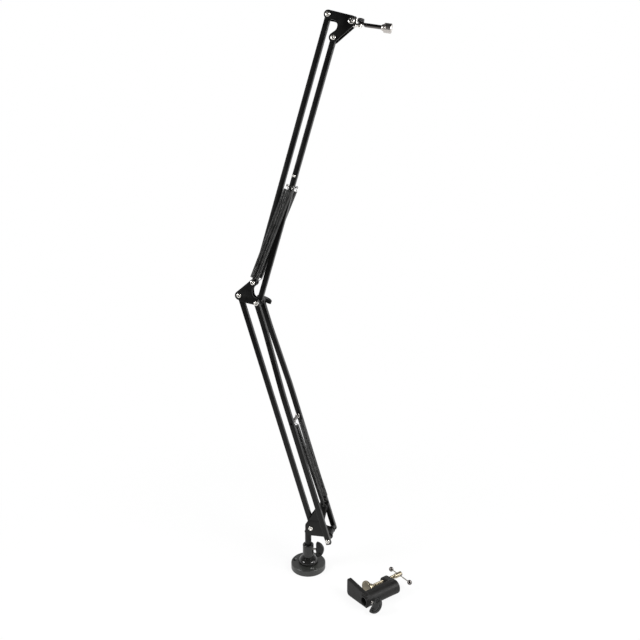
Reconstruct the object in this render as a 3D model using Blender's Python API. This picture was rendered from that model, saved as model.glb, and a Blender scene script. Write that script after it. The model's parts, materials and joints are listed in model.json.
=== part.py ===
"""Microphone stand: a screw-down flange, two sprung parallel-bar arms, a swivelling rod and a loose clamp.

Sizes are in millimetres. The part stands on z = 0, its arms lie in the XZ plane, and its near side
is the one towards -Y. An arm's own frame has X across the arm, Y along the part's Y and Z up the bar.
"""
import math

import bmesh
import bpy
from mathutils import Matrix, Vector

MM = 0.001
GAP = 0.3            # running gap between neighbours
NEAR, FAR = -1, 1    # sides of the arm plane, as signs of y


def polar(length, degrees):
    """Step of this length in the arm plane, at this angle up from +X."""
    turn = math.radians(degrees)
    return Vector((math.cos(turn), 0, math.sin(turn))) * length


# Bars and links
BAR = 9.0
BAR_WALL = 1.0
BAR_END = 5.0              # bar past its pivot
FOOT_END = 7.0             # lower front bars past their foot pivot
ARM = 451.4                # pivot to pivot, both arms
LOWER_LEAN = 106.8
UPPER_LEAN = 72.9
LOWER_LINK, LOWER_LINK_LEAN = 37.4, -17.1
UPPER_LINK, UPPER_LINK_LEAN = 36.1, -76.1
SHEET = 2.0                # plates and bracket
BAR_HALF = BAR / 2
PLATE_INNER = BAR_HALF + GAP
PLATE_OUTER = PLATE_INNER + SHEET

# Pivots in the arm plane
REAR_FOOT = Vector((7.5, 0, 87.4))
FRONT_FOOT = REAR_FOOT + polar(LOWER_LINK, LOWER_LINK_LEAN)
ELBOW_FRONT = FRONT_FOOT + polar(ARM, LOWER_LEAN)
ELBOW_REAR = REAR_FOOT + polar(ARM, LOWER_LEAN)
ELBOW_TOP = ELBOW_FRONT - polar(UPPER_LINK, UPPER_LINK_LEAN)
HEAD_FRONT = ELBOW_FRONT + polar(ARM, UPPER_LEAN)
HEAD_REAR = ELBOW_TOP + polar(ARM, UPPER_LEAN)
HEAD_ROD = HEAD_REAR + polar(39.7, -17.6)

# Lower front pair: narrow at the elbow, wide at the foot
PAIR_TOP_Y = 15.4
PAIR_FOOT_Y = 26.9
JOGGLE_FROM = 166.0        # below the elbow pivot
JOGGLE_TO = 48.0

# Fasteners
SHANK = 2.0
HEAD_R, HEAD_TALL = 4.3, 2.4
BIG_HEAD_R = 5.2
NUT_R, NUT_TALL, TAIL = 4.2, 3.0, 1.2
SLEEVE_R = 4.4
ROUND = 12                 # sides of a small round piece

# Flange, socket and post
FLANGE_R, FLANGE_TALL = 32.5, 12.0
FLANGE_EDGE = 1.0
SCREW_RING_R, SCREW_HOLE_R, SINK_R, SINK_TALL = 26.3, 2.4, 4.4, 2.2
SOCKET_TOP = 48.5
SOCKET_R, SOCKET_RIM = 10.5, 2.0
SOCKET_FOOT_R, SOCKET_FOOT_TALL = 18.0, 9.0
SPIGOT_R, SPIGOT_END = 8.0, 3.0
POST_R = 6.0
BORE_FLOOR = 14.0
STUD_R, PEEN_R, PEEN_TALL = 4.0, 5.3, 2.5

# Lower bracket: a folded channel with two cheeks and leaning lugs
WEB_Z = 73.0
CHEEK_OUTER = 12.0
CHEEK_INNER = CHEEK_OUTER - SHEET
CREASE_Z = 104.0
LUG_LEAN = 0.06
TONGUE_R = 6.8
BRACKET_BACK = 10.5        # left of the rear foot pivot
CUTTER_REACH = 50.0        # past a body, for a cutter
LUG_HOLE = Vector((32.0, 0, 134.0))
LUG_HOLE_R = 2.0

# Thumbscrews, one pattern for post, elbow and clamp
LOCK_R = 14.8
LOCK_THICK = 7.6
LOCK_CORNER = 2.4
LOCK_STEM = 5.0            # bare shaft between the socket and the paddle
LOCK_Z = 39.0
SCREW_DEPTH = 9.0
DIMPLE_R, DIMPLE_DEEP = 3.8, 1.2
DIMPLE_OUT, DIMPLE_UP = 0.42, 0.53    # as shares of the paddle's radius
ELBOW_LOCK_TURN = -22.0
HUB_R = 4.6

# Springs
WIRE = 0.6
COIL = 3.3
CURLS = 12
STEPS = 8
HOOK_R = SHANK + 0.35 + WIRE
HANG_UP = 209.0            # along the upper front bar from the elbow
HANG_BOLT_UP = HANG_UP + 18.0
HANG_HEAD_R = 2.6
HANG_Y = 15.4
HANG_SIDE = 2.2            # holes left and right of the bar's middle line
HANG_FOOT_Y, HANG_FOOT_HALF = 19.0, 5.6
HANG_LEG_HALF, HANG_SHEET = 3.5, 1.5
RING_R = 2.2
UPPER_BODY_SIDE = (4.2, 4.2)
UPPER_BODY_Y = (15.0, 10.4)
UPPER_HOOK_Y = (7.8, 9.6)
BODY_FROM, BODY_TO = 9.0, 9.5
RING_FIRST, RING_SWEEP = -50, 300
HOOK_SWEEP = -290
PIN_UP = 229.0             # along the lower front pair from its foot
LOWER_SPRING_Y = 13.8
LOWER_BODY_FRONT = (3.0, 1.5)   # the body's ends, forward of the line from pin to hole
PIN_R = 3.0
PIN_HOOK_R = PIN_R + 0.35 + WIRE

# Rod and swivel at the head, in a frame that tilts with the rod
ROD_TILT = -10.5
PAN_U = 13.8
BLOCK_HALF = 4.0
BLOCK_FACE_U = 8.0
EYE_R = 4.0
TONGUE_W = (-5.0, -2.2)
EYE_W = (-1.9, 0.9)
ROD_R, ROD_W = 3.1, -2.0
ROD_FROM, ROD_TO = 18.2, 60.0
COLLAR_U = (48.5, 52.2)
ADAPTER_U, ADAPTER_R = (52.5, 64.5), 7.3
KNOB_R, KNOB_W, KNOB_CAP = 5.4, (1.4, 6.6), 2.2
PAN_STUD_R = 1.5

# Clamp, in its own frame: X from the bored face to the far end, Y from the spine to the jaw's tip
CLAMP_AT = Vector((129.2, -107.3, 0))
CLAMP_TURN = 47.0
CLAMP_Z = 15.5
JAW_REACH, JAW_WIDE, JAW_THICK = 60.0, 31.0, 8.0
JAW_TIP_LOW_R, JAW_TIP_HIGH_R, JAW_ROOT_Y = 6.0, 3.0, 8.0
SPINE_LONG, SPINE_DEEP, SPINE_WIDE = 68.0, 19.0, 23.5
SPINE_ROUND_R, SPINE_EDGE_R = 11.0, 2.0
LUG_X, LUG_R, LUG_IN, LUG_PROUD = (60.0, 72.0), 8.5, 1.5, 0.3
BOSS_TALL, BOSS_HALF_Y, BOSS_HALF_Z, BOSS_EDGE_R = 2.5, 5.5, 6.0, 3.0
CLAMP_BORE_Y, CLAMP_BORE_R, CLAMP_BORE_DEEP = 10.0, 6.6, 42.0
CLAMP_SCREW_Y, CLAMP_SCREW_R = 33.5, 3.5
CLAMP_SCREW_X = (31.5, 105.0)
SCREW_HEAD_X, SCREW_HEAD_R = 90.0, 4.3
PAD_R = CLAMP_SCREW_Y - SPINE_DEEP - 2 * GAP
PAD_X, PAD_THICK, PAD_HUB_R, PAD_HUB = 23.5, 4.5, 6.0, 8.0
T_BAR_X, T_BAR_Y, T_BAR_R, T_BAR_HALF = 98.5, 29.0, 1.25, 24.5
BALL_R = 4.3
CLAMP_LOCK_X, CLAMP_LOCK_TURN = 8.0, 40.0


def frame(origin, x_axis, z_axis):
    """Placement with its origin at a point in millimetres and its X and Z axes as given."""
    x_axis = Vector(x_axis).normalized()
    z_axis = Vector(z_axis).normalized()
    turn = Matrix((x_axis, z_axis.cross(x_axis), z_axis)).transposed().to_4x4()
    return Matrix.Translation(Vector(origin) * MM) @ turn


HERE = Matrix.Identity(4)
ARM_PLANE = frame((0, 0, 0), (1, 0, 0), (0, -1, 0))    # X, Y to the part's X, Z; height towards the near side
ALONG_X = frame((0, 0, 0), (0, 1, 0), (1, 0, 0))       # height along X
ROD_FRAME = frame(HEAD_ROD, polar(1, ROD_TILT), polar(1, ROD_TILT + 90))
CLAMP = frame(CLAMP_AT, (math.cos(math.radians(CLAMP_TURN)), math.sin(math.radians(CLAMP_TURN)), 0), (0, 0, 1))


def across(point):
    """Placement at a pivot, with its height towards the near side."""
    return frame(point, (1, 0, 0), (0, -1, 0))


def bar_frame(foot, lean):
    """An arm's own frame: X across the arm, Y along the part's Y, Z up the bar."""
    return frame(foot, polar(1, lean - 90), polar(1, lean))


def make(name, points, faces, place=HERE):
    """Closed mesh from points in millimetres, put in place, with its faces turned outwards."""
    mesh = bpy.data.meshes.new(name)
    mesh.from_pydata([Vector(point) * MM for point in points], [], faces)
    mesh.transform(place)
    work = bmesh.new()
    work.from_mesh(mesh)
    bmesh.ops.recalc_face_normals(work, faces=work.faces)
    work.to_mesh(mesh)
    work.free()
    body = bpy.data.objects.new(name, mesh)
    bpy.context.scene.collection.objects.link(body)
    return body


def prism(name, outline, low, high, place=HERE):
    """Outline in the placement's XY plane, from height low to height high."""
    count = len(outline)
    points = [(x, y, low) for x, y in outline] + [(x, y, high) for x, y in outline]
    faces = [tuple(range(count)), tuple(range(count, 2 * count))]
    for index in range(count):
        after = (index + 1) % count
        faces.append((index, after, after + count, index + count))
    return make(name, points, faces, place)


def lathe(name, profile, place=HERE, sides=ROUND, hexagon=()):
    """Surface of revolution about the placement's Z from rows of radius and height.

    The rows start and end on the axis, or go round a bore as a closed loop. Rows listed in
    hexagon are six-sided, on twelve sides.
    """
    points = []
    rings = []
    for row, (radius, height) in enumerate(profile):
        ring = []
        for side in range(sides if radius else 1):
            turn = 2 * math.pi * side / sides
            flat = math.cos(math.pi / 6) if row in hexagon and side % 2 else 1
            ring.append(len(points))
            points.append((radius * flat * math.cos(turn), radius * flat * math.sin(turn), height))
        rings.append(ring)
    bands = list(zip(rings, rings[1:]))
    if profile[0][0]:
        bands.append((rings[-1], rings[0]))
    faces = []
    for low, high in bands:
        for side in range(sides):
            after = side + 1
            corners = (low[side % len(low)], low[after % len(low)], high[after % len(high)], high[side % len(high)])
            faces.append(tuple(dict.fromkeys(corners)))
    return make(name, points, faces, place)


def sleeve(name, inner, outer, low, high, place, sides=ROUND):
    """Round sleeve between two heights."""
    return lathe(name, [(inner, low), (outer, low), (outer, high), (inner, high)], place, sides)


def rod(name, radius, low, high, place, sides=ROUND):
    """Plain round rod between two heights."""
    return lathe(name, [(0, low), (radius, low), (radius, high), (0, high)], place, sides)


def outline(circles, step=30):
    """Closed anticlockwise outline round circles of x, y and radius, joined by common tangents.

    It runs round the outside of each circle, or round the inside of one with a negative radius.
    """
    count = len(circles)
    leans = []
    for index, (x, y, radius) in enumerate(circles):
        next_x, next_y, next_radius = circles[(index + 1) % count]
        share = (radius - next_radius) / math.hypot(next_x - x, next_y - y)
        leans.append(math.atan2(next_y - y, next_x - x) - math.acos(max(-1, min(1, share))))
    slack = 0.01
    points = []
    for index, (x, y, radius) in enumerate(circles):
        first = leans[index - 1]
        way = math.copysign(1, radius)
        sweep = way * ((way * (leans[index] - first) + slack) % (2 * math.pi) - slack)
        parts = max(1, math.ceil(abs(sweep) / math.radians(step)))
        for part in range(parts + 1):
            turn = first + sweep * part / parts
            points.append((x + radius * math.cos(turn), y + radius * math.sin(turn)))
    return points


def combine(body, others, operation):
    """Boolean of a body with others, which it uses up."""
    for other in others:
        step = body.modifiers.new(operation, "BOOLEAN")
        step.operation = operation
        step.solver = "EXACT"
        step.object = other
    shape = bpy.data.meshes.new_from_object(body.evaluated_get(bpy.context.evaluated_depsgraph_get()))
    body.modifiers.clear()
    body.data = shape
    for other in others:
        bpy.data.objects.remove(other)
    return body


def cut(body, *cutters):
    return combine(body, cutters, "DIFFERENCE")


def join(body, *parts):
    return combine(body, parts, "UNION")


def bolt(name, pivot, near, far, head_r=HEAD_R):
    """Bolt across the arm: a domed head on the near side, a hexagon nut on the far side."""
    profile = [
        (0, -far - NUT_TALL - TAIL),
        (SHANK, -far - NUT_TALL - TAIL),
        (SHANK, -far - NUT_TALL),
        (NUT_R, -far - NUT_TALL),
        (NUT_R, -far),
        (SHANK, -far),
        (SHANK, near),
        (head_r, near),
        (head_r, near + HEAD_TALL * 0.45),
        (head_r * 0.62, near + HEAD_TALL),
        (0, near + HEAD_TALL),
    ]
    return lathe(name, profile, across(pivot), hexagon=(3, 4))


def pivot_hole(pivot, radius=SHANK + GAP):
    """Cutter for a pivot hole through everything that is to be cut."""
    return rod("hole", radius, -4 * CHEEK_OUTER, 4 * CHEEK_OUTER, across(pivot))


def square_bar(name, path, place, holes):
    """Hollow square bar along points of (y, height) in an arm's frame, mitred at its bends, with pivot holes."""
    ends = [Vector((0, y, height)) for y, height in path]
    points = []
    for index, end in enumerate(ends):
        before = (end - ends[max(index - 1, 0)]).normalized()
        after = (ends[min(index + 1, len(ends) - 1)] - end).normalized()
        ahead = (before + after).normalized()
        wide = Vector((1, 0, 0))
        deep = ahead.cross(wide) / max(ahead.dot(before), ahead.dot(after))
        for half in (BAR_HALF, BAR_HALF - BAR_WALL):
            for right, back in ((-1, -1), (1, -1), (1, 1), (-1, 1)):
                points.append(end + (wide * right + deep * back) * half)
    faces = []
    for start in range(0, 8 * (len(ends) - 1), 8):
        for ring in (0, 4):
            for corner in range(4):
                low = start + ring + corner
                after = start + ring + (corner + 1) % 4
                faces.append((low, after, after + 8, low + 8))
    for start in (0, 8 * (len(ends) - 1)):
        for corner in range(4):
            low = start + corner
            after = start + (corner + 1) % 4
            faces.append((low, after, after + 4, low + 4))
    return cut(make(name, points, faces, place), *[pivot_hole(hole) for hole in holes])


def straight_bar(name, foot, lean, holes=()):
    """Bar on the arm plane between two pivots, with further holes at heights above the first."""
    pivots = [foot + polar(height, lean) for height in (0, ARM, *holes)]
    return square_bar(name, [(0, -BAR_END), (0, ARM + BAR_END)], bar_frame(foot, lean), pivots)


def front_pair():
    """Two lower bars on either side of the arm plane, which spread below the elbow."""
    place = bar_frame(FRONT_FOOT, LOWER_LEAN)
    holes = [FRONT_FOOT, FRONT_FOOT + polar(PIN_UP, LOWER_LEAN), ELBOW_FRONT]
    for side, word in ((NEAR, "near"), (FAR, "far")):
        path = [
            (side * PAIR_FOOT_Y, -FOOT_END),
            (side * PAIR_FOOT_Y, ARM - JOGGLE_FROM),
            (side * PAIR_TOP_Y, ARM - JOGGLE_TO),
            (side * PAIR_TOP_Y, ARM + BAR_END),
        ]
        square_bar(f"lower_front_bar_{word}", path, place, holes)


def plates(name, circles, pivots):
    """Two like plates, one on each side of the bars, drilled at their pivots."""
    for side, word in ((1, "near"), (-1, "far")):
        low, high = sorted((side * PLATE_INNER, side * PLATE_OUTER))
        plate = prism(f"{name}_{word}", outline(circles), low, high, ARM_PLANE)
        cut(plate, *[pivot_hole(pivot) for pivot in pivots])


def around(pivot, right, up, radius):
    """Circle of an outline, placed from a pivot."""
    return (pivot.x + right, pivot.z + up, radius)


def elbow_plates():
    circles = [
        around(ELBOW_REAR, 0, 0, 8.0),
        around(ELBOW_REAR, 10.9, -5.1, 7.5),
        around(ELBOW_FRONT, 0, 0, 6.5),
        around(ELBOW_FRONT, -2.2, 16.2, -9.0),
        around(ELBOW_FRONT, -4.0, 21.5, -7.6),
        around(ELBOW_TOP, 0, 0, 6.2),
    ]
    plates("elbow_plate", circles, (ELBOW_REAR, ELBOW_FRONT, ELBOW_TOP))


def head_plates():
    circles = [
        around(HEAD_FRONT, 0, 0, 7.2),
        around(HEAD_ROD, 0.2, -4.8, 4.0),
        around(HEAD_ROD, 1.8, 4.6, 3.0),
        around(HEAD_REAR, 0, 0, 6.7),
        around(HEAD_REAR, 6.2, -17.5, -9.0),
    ]
    plates("head_plate", circles, (HEAD_FRONT, HEAD_ROD, HEAD_REAR))


def flange():
    profile = [
        (0, 0),
        (FLANGE_R - FLANGE_EDGE, 0),
        (FLANGE_R, FLANGE_EDGE),
        (FLANGE_R, FLANGE_TALL - FLANGE_EDGE),
        (FLANGE_R - FLANGE_EDGE, FLANGE_TALL),
        (SPIGOT_R + GAP, FLANGE_TALL),
        (SPIGOT_R + GAP, SPIGOT_END - GAP),
        (0, SPIGOT_END - GAP),
    ]
    body = lathe("flange", profile, sides=40)
    sinks = []
    for turn in (60, 180, 300):
        spot = Vector((math.cos(math.radians(turn)), math.sin(math.radians(turn)), 0)) * SCREW_RING_R
        sink = [(0, -1), (SCREW_HOLE_R, -1), (SCREW_HOLE_R, FLANGE_TALL - SINK_TALL)]
        sink += [(SINK_R, FLANGE_TALL), (SINK_R, FLANGE_TALL + 1), (0, FLANGE_TALL + 1)]
        sinks.append(lathe("sink", sink, frame(spot, (1, 0, 0), (0, 0, 1)), 16))
    cut(body, *sinks)


def socket():
    """Flared socket whose spigot sits in the flange, with a pocket and a hole for its thumbscrew."""
    foot = FLANGE_TALL + GAP
    bore = POST_R + GAP
    profile = [(0, SPIGOT_END), (SPIGOT_R, SPIGOT_END), (SPIGOT_R, foot), (SOCKET_FOOT_R, foot)]
    for turn in (0, 30, 60, 90):
        swell = math.sin(math.radians(turn))
        shrink = math.cos(math.radians(turn))
        profile.append((
            SOCKET_R + (SOCKET_FOOT_R - SOCKET_R) * shrink,
            foot + 1.5 + (SOCKET_FOOT_TALL - 1.5) * swell,
        ))
    profile += [(SOCKET_R, SOCKET_TOP - SOCKET_RIM), (SOCKET_R - SOCKET_RIM * 0.3, SOCKET_TOP - SOCKET_RIM * 0.3)]
    profile += [(SOCKET_R - SOCKET_RIM, SOCKET_TOP), (bore + 0.6, SOCKET_TOP), (bore, SOCKET_TOP - 0.8)]
    profile += [(bore, BORE_FLOOR), (0, BORE_FLOOR)]
    body = lathe("socket", profile, sides=24)
    pocket = prism("pocket", outline([(0, -4, 4.2), (0, 4, 4.2)]), SOCKET_R - 2, SOCKET_R + 2,
                   frame((0, 0, LOCK_Z), (0, 1, 0), (1, 0, 0)))
    hole = rod("hole", SHANK + GAP, bore - 2, SOCKET_R + 2, frame((0, 0, LOCK_Z), (0, 1, 0), (1, 0, 0)))
    cut(body, pocket, hole)


def post():
    """Post in the socket, with a stud through the bracket's web and a peened head above it."""
    web_top = WEB_Z + SHEET + GAP
    profile = [
        (0, BORE_FLOOR + GAP),
        (POST_R - 0.8, BORE_FLOOR + GAP),
        (POST_R, BORE_FLOOR + GAP + 0.8),
        (POST_R, WEB_Z - GAP),
        (STUD_R, WEB_Z - GAP),
        (STUD_R, web_top),
        (PEEN_R, web_top),
        (PEEN_R, web_top + PEEN_TALL / 2),
        (PEEN_R - 1.6, web_top + PEEN_TALL),
        (0, web_top + PEEN_TALL),
    ]
    lathe("post", profile, sides=16)


def lower_bracket():
    """Folded channel: a web on the post, two cheeks, and lugs above a crease that lean inwards."""
    bottom_r = 1.0
    left = REAR_FOOT.x - BRACKET_BACK
    circles = [
        (left + bottom_r, WEB_Z + bottom_r, bottom_r),
        (FRONT_FOOT.x - 7.7, WEB_Z - 3.0, -3.0),
        around(FRONT_FOOT, 0, 0, 6.2),
        around(FRONT_FOOT, -5.2, 15.6, -9.0),
        around(LUG_HOLE, 3.0, -1.0, 2.5),
        around(LUG_HOLE, -3.5, 3.5, 2.5),
        (left + 5.0, REAR_FOOT.z + 5.1, 5.0),
    ]
    body = prism("lower_bracket", outline(circles), -CHEEK_OUTER, CHEEK_OUTER, ARM_PLANE)
    web_end = FRONT_FOOT.x - 9.2
    top = LUG_HOLE.z + CUTTER_REACH
    right = FRONT_FOOT.x + CUTTER_REACH
    bottom = WEB_Z - 20
    inside = [(left - 20, WEB_Z + SHEET), (web_end, WEB_Z + SHEET), (web_end, bottom), (right, bottom)]
    inside += [(right, top), (left - 20, top)]
    cut(body, prism("inside", inside, -CHEEK_INNER, CHEEK_INNER, ARM_PLANE))
    join(body, rod("tongue", TONGUE_R, WEB_Z, WEB_Z + SHEET, HERE, 24))
    work = bmesh.new()
    work.from_mesh(body.data)
    crease = CREASE_Z * MM
    shape = work.verts[:] + work.edges[:] + work.faces[:]
    bmesh.ops.bisect_plane(work, geom=shape, plane_co=(0, 0, crease), plane_no=(0, 0, 1))
    for vert in work.verts:
        lean = LUG_LEAN * max(0, vert.co.z - crease)
        vert.co.y -= math.copysign(lean, vert.co.y)
    work.to_mesh(body.data)
    work.free()
    stud_hole = rod("hole", STUD_R + GAP, WEB_Z - 1, WEB_Z + SHEET + 1, HERE, 16)
    hook_hole = pivot_hole(LUG_HOLE, LUG_HOLE_R)
    cut(body, stud_hole, pivot_hole(REAR_FOOT), pivot_hole(FRONT_FOOT), hook_hole)


def foot_fasteners():
    """Bolts and sleeves of the two foot pivots."""
    cheek = CHEEK_OUTER + GAP
    pair_inner = PAIR_FOOT_Y - BAR_HALF - GAP
    pair_outer = PAIR_FOOT_Y + BAR_HALF + GAP
    inner = CHEEK_INNER - GAP
    bolt("rear_foot_bolt", REAR_FOOT, cheek, cheek)
    bolt("front_foot_bolt", FRONT_FOOT, pair_outer, pair_outer)
    bore = SHANK + GAP
    sleeve("front_foot_sleeve_mid", bore, SLEEVE_R + 0.6, -inner, inner, across(FRONT_FOOT))
    for side, word in ((1, "near"), (-1, "far")):
        low, high = sorted((side * (BAR_HALF + GAP), side * inner))
        sleeve(f"rear_foot_sleeve_{word}", bore, SLEEVE_R, low, high, across(REAR_FOOT))
        low, high = sorted((side * cheek, side * pair_inner))
        sleeve(f"front_foot_sleeve_{word}", bore, SLEEVE_R, low, high, across(FRONT_FOOT))


def elbow_fasteners():
    """Bolts of the elbow, its sleeves, and the thumbscrew paddle on the far end of the front bolt."""
    plate = PLATE_OUTER + GAP
    pair_inner = PAIR_TOP_Y - BAR_HALF - GAP
    pair_outer = PAIR_TOP_Y + BAR_HALF + GAP
    hooks = max(UPPER_HOOK_Y) + WIRE + GAP
    bolt("elbow_rear_bolt", ELBOW_REAR, plate, plate)
    bolt("elbow_top_bolt", ELBOW_TOP, hooks, hooks)
    tip = pair_outer + LOCK_STEM + SCREW_DEPTH
    profile = [(0, -tip), (SHANK, -tip), (SHANK, pair_outer), (HEAD_R, pair_outer)]
    profile += [(HEAD_R, pair_outer + HEAD_TALL * 0.45), (HEAD_R * 0.62, pair_outer + HEAD_TALL)]
    profile += [(0, pair_outer + HEAD_TALL)]
    lathe("elbow_front_bolt", profile, across(ELBOW_FRONT))
    for side, word in ((1, "near"), (-1, "far")):
        low, high = sorted((side * plate, side * pair_inner))
        sleeve(f"elbow_sleeve_{word}", SHANK + GAP, SLEEVE_R, low, high, across(ELBOW_FRONT))
    place = frame(ELBOW_FRONT, (0, 1, 0), polar(1, ELBOW_LOCK_TURN))
    paddle("elbow_paddle", place, pair_outer + LOCK_STEM, hub=LOCK_STEM)


def head_fasteners():
    plate = PLATE_OUTER + GAP
    bolt("head_rear_bolt", HEAD_REAR, plate, plate)
    bolt("head_front_bolt", HEAD_FRONT, plate, plate)
    bolt("head_rod_bolt", HEAD_ROD, plate, plate, BIG_HEAD_R)


def paddle(name, place, flat, hub=0.0):
    """Half-moon thumb paddle: its flat side at X = flat, dimpled on both faces, with a blind screw hole."""
    side = math.sqrt((LOCK_R - LOCK_CORNER) ** 2 - LOCK_CORNER ** 2)
    moon = [(flat + LOCK_CORNER, -side, LOCK_CORNER), (flat, 0, LOCK_R), (flat + LOCK_CORNER, side, LOCK_CORNER)]
    half = LOCK_THICK / 2
    body = prism(name, outline(moon, 20), -half, half, place @ ARM_PLANE)
    if hub:
        join(body, rod("hub", HUB_R, flat - hub, flat + 1, place @ ALONG_X, 16))
    cutters = [rod("hole", SHANK + GAP, flat - hub - 1, flat + SCREW_DEPTH + GAP, place @ ALONG_X)]
    for up in (-1, 1):
        spot = frame((flat + LOCK_R * DIMPLE_OUT, 0, up * LOCK_R * DIMPLE_UP), (1, 0, 0), (0, 1, 0))
        for face in (-1, 1):
            low, high = sorted((face * (half - DIMPLE_DEEP), face * (half + 1)))
            cutters.append(rod("dimple", DIMPLE_R, low, high, place @ spot))
    cut(body, *cutters)


def lock(name, place, tip, flat):
    """Thumbscrew along X: a shaft from its tip into a half-moon paddle."""
    rod(f"{name}_screw", SHANK, tip, flat + SCREW_DEPTH, place @ ALONG_X)
    paddle(f"{name}_paddle", place, flat)


def arc(centre, right, up, radius, first, sweep, count=8):
    """Points round a centre, from an angle in degrees through a sweep."""
    points = []
    for index in range(count + 1):
        turn = math.radians(first + sweep * index / count)
        points.append(centre + (right * math.cos(turn) + up * math.sin(turn)) * radius)
    return points


def coil(start, end):
    """Helix of the spring's body between two points on its axis."""
    axis = end - start
    right = axis.cross(Vector((0, 1, 0))).normalized()
    back = axis.cross(right).normalized()
    points = []
    for index in range(CURLS * STEPS + 1):
        turn = 2 * math.pi * index / STEPS
        middle = start + axis * index / (CURLS * STEPS)
        points.append(middle + (right * math.cos(turn) + back * math.sin(turn)) * COIL)
    return points


def wire(name, points):
    """One unbroken round wire through points; prints its least gap to itself, measured on them."""
    curve = bpy.data.curves.new(name, "CURVE")
    curve.dimensions = "3D"
    curve.bevel_depth = WIRE * MM
    curve.bevel_resolution = 1
    curve.use_fill_caps = True
    line = curve.splines.new("POLY")
    line.points.add(len(points) - 1)
    for spot, point in zip(line.points, points):
        spot.co = (*(point * MM), 1)
    bpy.context.scene.collection.objects.link(bpy.data.objects.new(name, curve))
    apart = STEPS // 2 + 1
    pairs = ((first, last) for first in range(len(points)) for last in range(first + apart, len(points)))
    gap = min((points[first] - points[last]).length for first, last in pairs) - 2 * WIRE
    print(f"{name}: least gap to itself {gap:.2f} mm")


def upper_springs():
    """Two springs on each side, from a hanger on the front bar to the elbow's top bolt."""
    up = polar(1, UPPER_LEAN)
    right = polar(1, UPPER_LEAN - 90)
    hang = ELBOW_FRONT + up * HANG_UP
    down = (ELBOW_TOP - hang).normalized()
    aside = down.cross(Vector((0, 1, 0))).normalized()
    aside = aside if aside.dot(right) > 0 else -aside
    for side, word in ((NEAR, "near"), (FAR, "far")):
        for hand, letter, hook_y in ((-1, "a", UPPER_HOOK_Y[0]), (1, "b", UPPER_HOOK_Y[1])):
            ring = hang + right * hand * (HANG_SIDE + RING_R) + Vector((0, side * HANG_Y, 0))
            top = hang + down * BODY_FROM + aside * hand * UPPER_BODY_SIDE[0]
            top += Vector((0, side * UPPER_BODY_Y[0], 0))
            bottom = ELBOW_TOP - down * BODY_TO + aside * hand * UPPER_BODY_SIDE[1]
            bottom += Vector((0, side * UPPER_BODY_Y[1], 0))
            hook = ELBOW_TOP + Vector((0, side * hook_y, 0))
            points = arc(ring, right * hand, up, RING_R, RING_FIRST, RING_SWEEP)
            points.append(top - (bottom - top).normalized() * 3)
            points += coil(top, bottom)
            points.append(bottom + (bottom - top).normalized() * 3 + aside * hand * 0.4)
            points += arc(hook, aside * hand, -down, HOOK_R, 0, HOOK_SWEEP)
            wire(f"upper_spring_{word}_{letter}", points)


def spring_hangers():
    """Folded hanger on each side of the upper front bar, and the bolt through both."""
    place = bar_frame(ELBOW_FRONT, UPPER_LEAN)
    leg_inner = BAR_HALF + GAP
    leg_outer = leg_inner + HANG_SHEET
    foot_low = HANG_UP - HANG_SHEET / 2
    top = HANG_BOLT_UP + HANG_LEG_HALF
    bolt_at = ELBOW_FRONT + polar(HANG_BOLT_UP, UPPER_LEAN)
    for side, word in ((NEAR, "near"), (FAR, "far")):
        low, high = sorted((side * leg_inner, side * leg_outer))
        half = HANG_LEG_HALF
        body = prism(f"spring_hanger_{word}", [(-half, low), (half, low), (half, high), (-half, high)],
                     foot_low, top, place)
        low, high = sorted((side * leg_inner, side * HANG_FOOT_Y))
        half = HANG_FOOT_HALF
        foot = prism("foot", [(-half, low), (half, low), (half, high), (-half, high)],
                     foot_low, foot_low + HANG_SHEET, place)
        join(body, foot)
        holes = [pivot_hole(bolt_at)]
        for hand in (-1, 1):
            spot = place @ Matrix.Translation(Vector((hand * HANG_SIDE, side * HANG_Y, 0)) * MM)
            holes.append(rod("hole", WIRE + 0.5, foot_low - 1, foot_low + HANG_SHEET + 1, spot))
        cut(body, *holes)
    bolt("hanger_bolt", bolt_at, leg_outer + GAP, leg_outer + GAP, HANG_HEAD_R)


def lower_springs():
    """One spring on each side, from a pin across the front pair to a hole in the bracket's lug."""
    pin = FRONT_FOOT + polar(PIN_UP, LOWER_LEAN)
    reach = PAIR_FOOT_Y + BAR_HALF
    inner = PAIR_FOOT_Y - BAR_HALF - GAP
    profile = [(0, -reach), (SHANK, -reach), (SHANK, -inner), (PIN_R, -inner)]
    profile += [(PIN_R, inner), (SHANK, inner), (SHANK, reach), (0, reach)]
    lathe("lower_spring_pin", profile, across(pin))
    down = (LUG_HOLE - pin).normalized()
    right = Vector((0, 1, 0)).cross(down).normalized()
    for side, word in ((NEAR, "near"), (FAR, "far")):
        aside = Vector((0, side, 0))
        top = pin + down * BODY_FROM + aside * LOWER_SPRING_Y - right * LOWER_BODY_FRONT[0]
        bottom = LUG_HOLE - down * BODY_TO + aside * LOWER_SPRING_Y - right * LOWER_BODY_FRONT[1]
        points = arc(pin + aside * LOWER_SPRING_Y, right, -down, PIN_HOOK_R, RING_FIRST, RING_SWEEP)
        points.append(top - down * 3)
        points += coil(top, bottom)
        lug = CHEEK_OUTER - SHEET / 2 - LUG_LEAN * (LUG_HOLE.z - CREASE_Z)
        points.append(bottom + down * 3)
        points.append(LUG_HOLE - down * 2.5 + aside * (LOWER_SPRING_Y - 0.3))
        points.append(LUG_HOLE + down * 0.2 + aside * (lug + 2.6))
        points.append(LUG_HOLE + down * 0.4 + aside * (lug - 1.6))
        points.append(LUG_HOLE - down * 1.8 + aside * (lug - 2.8))
        wire(f"lower_spring_{word}", points)


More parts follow.
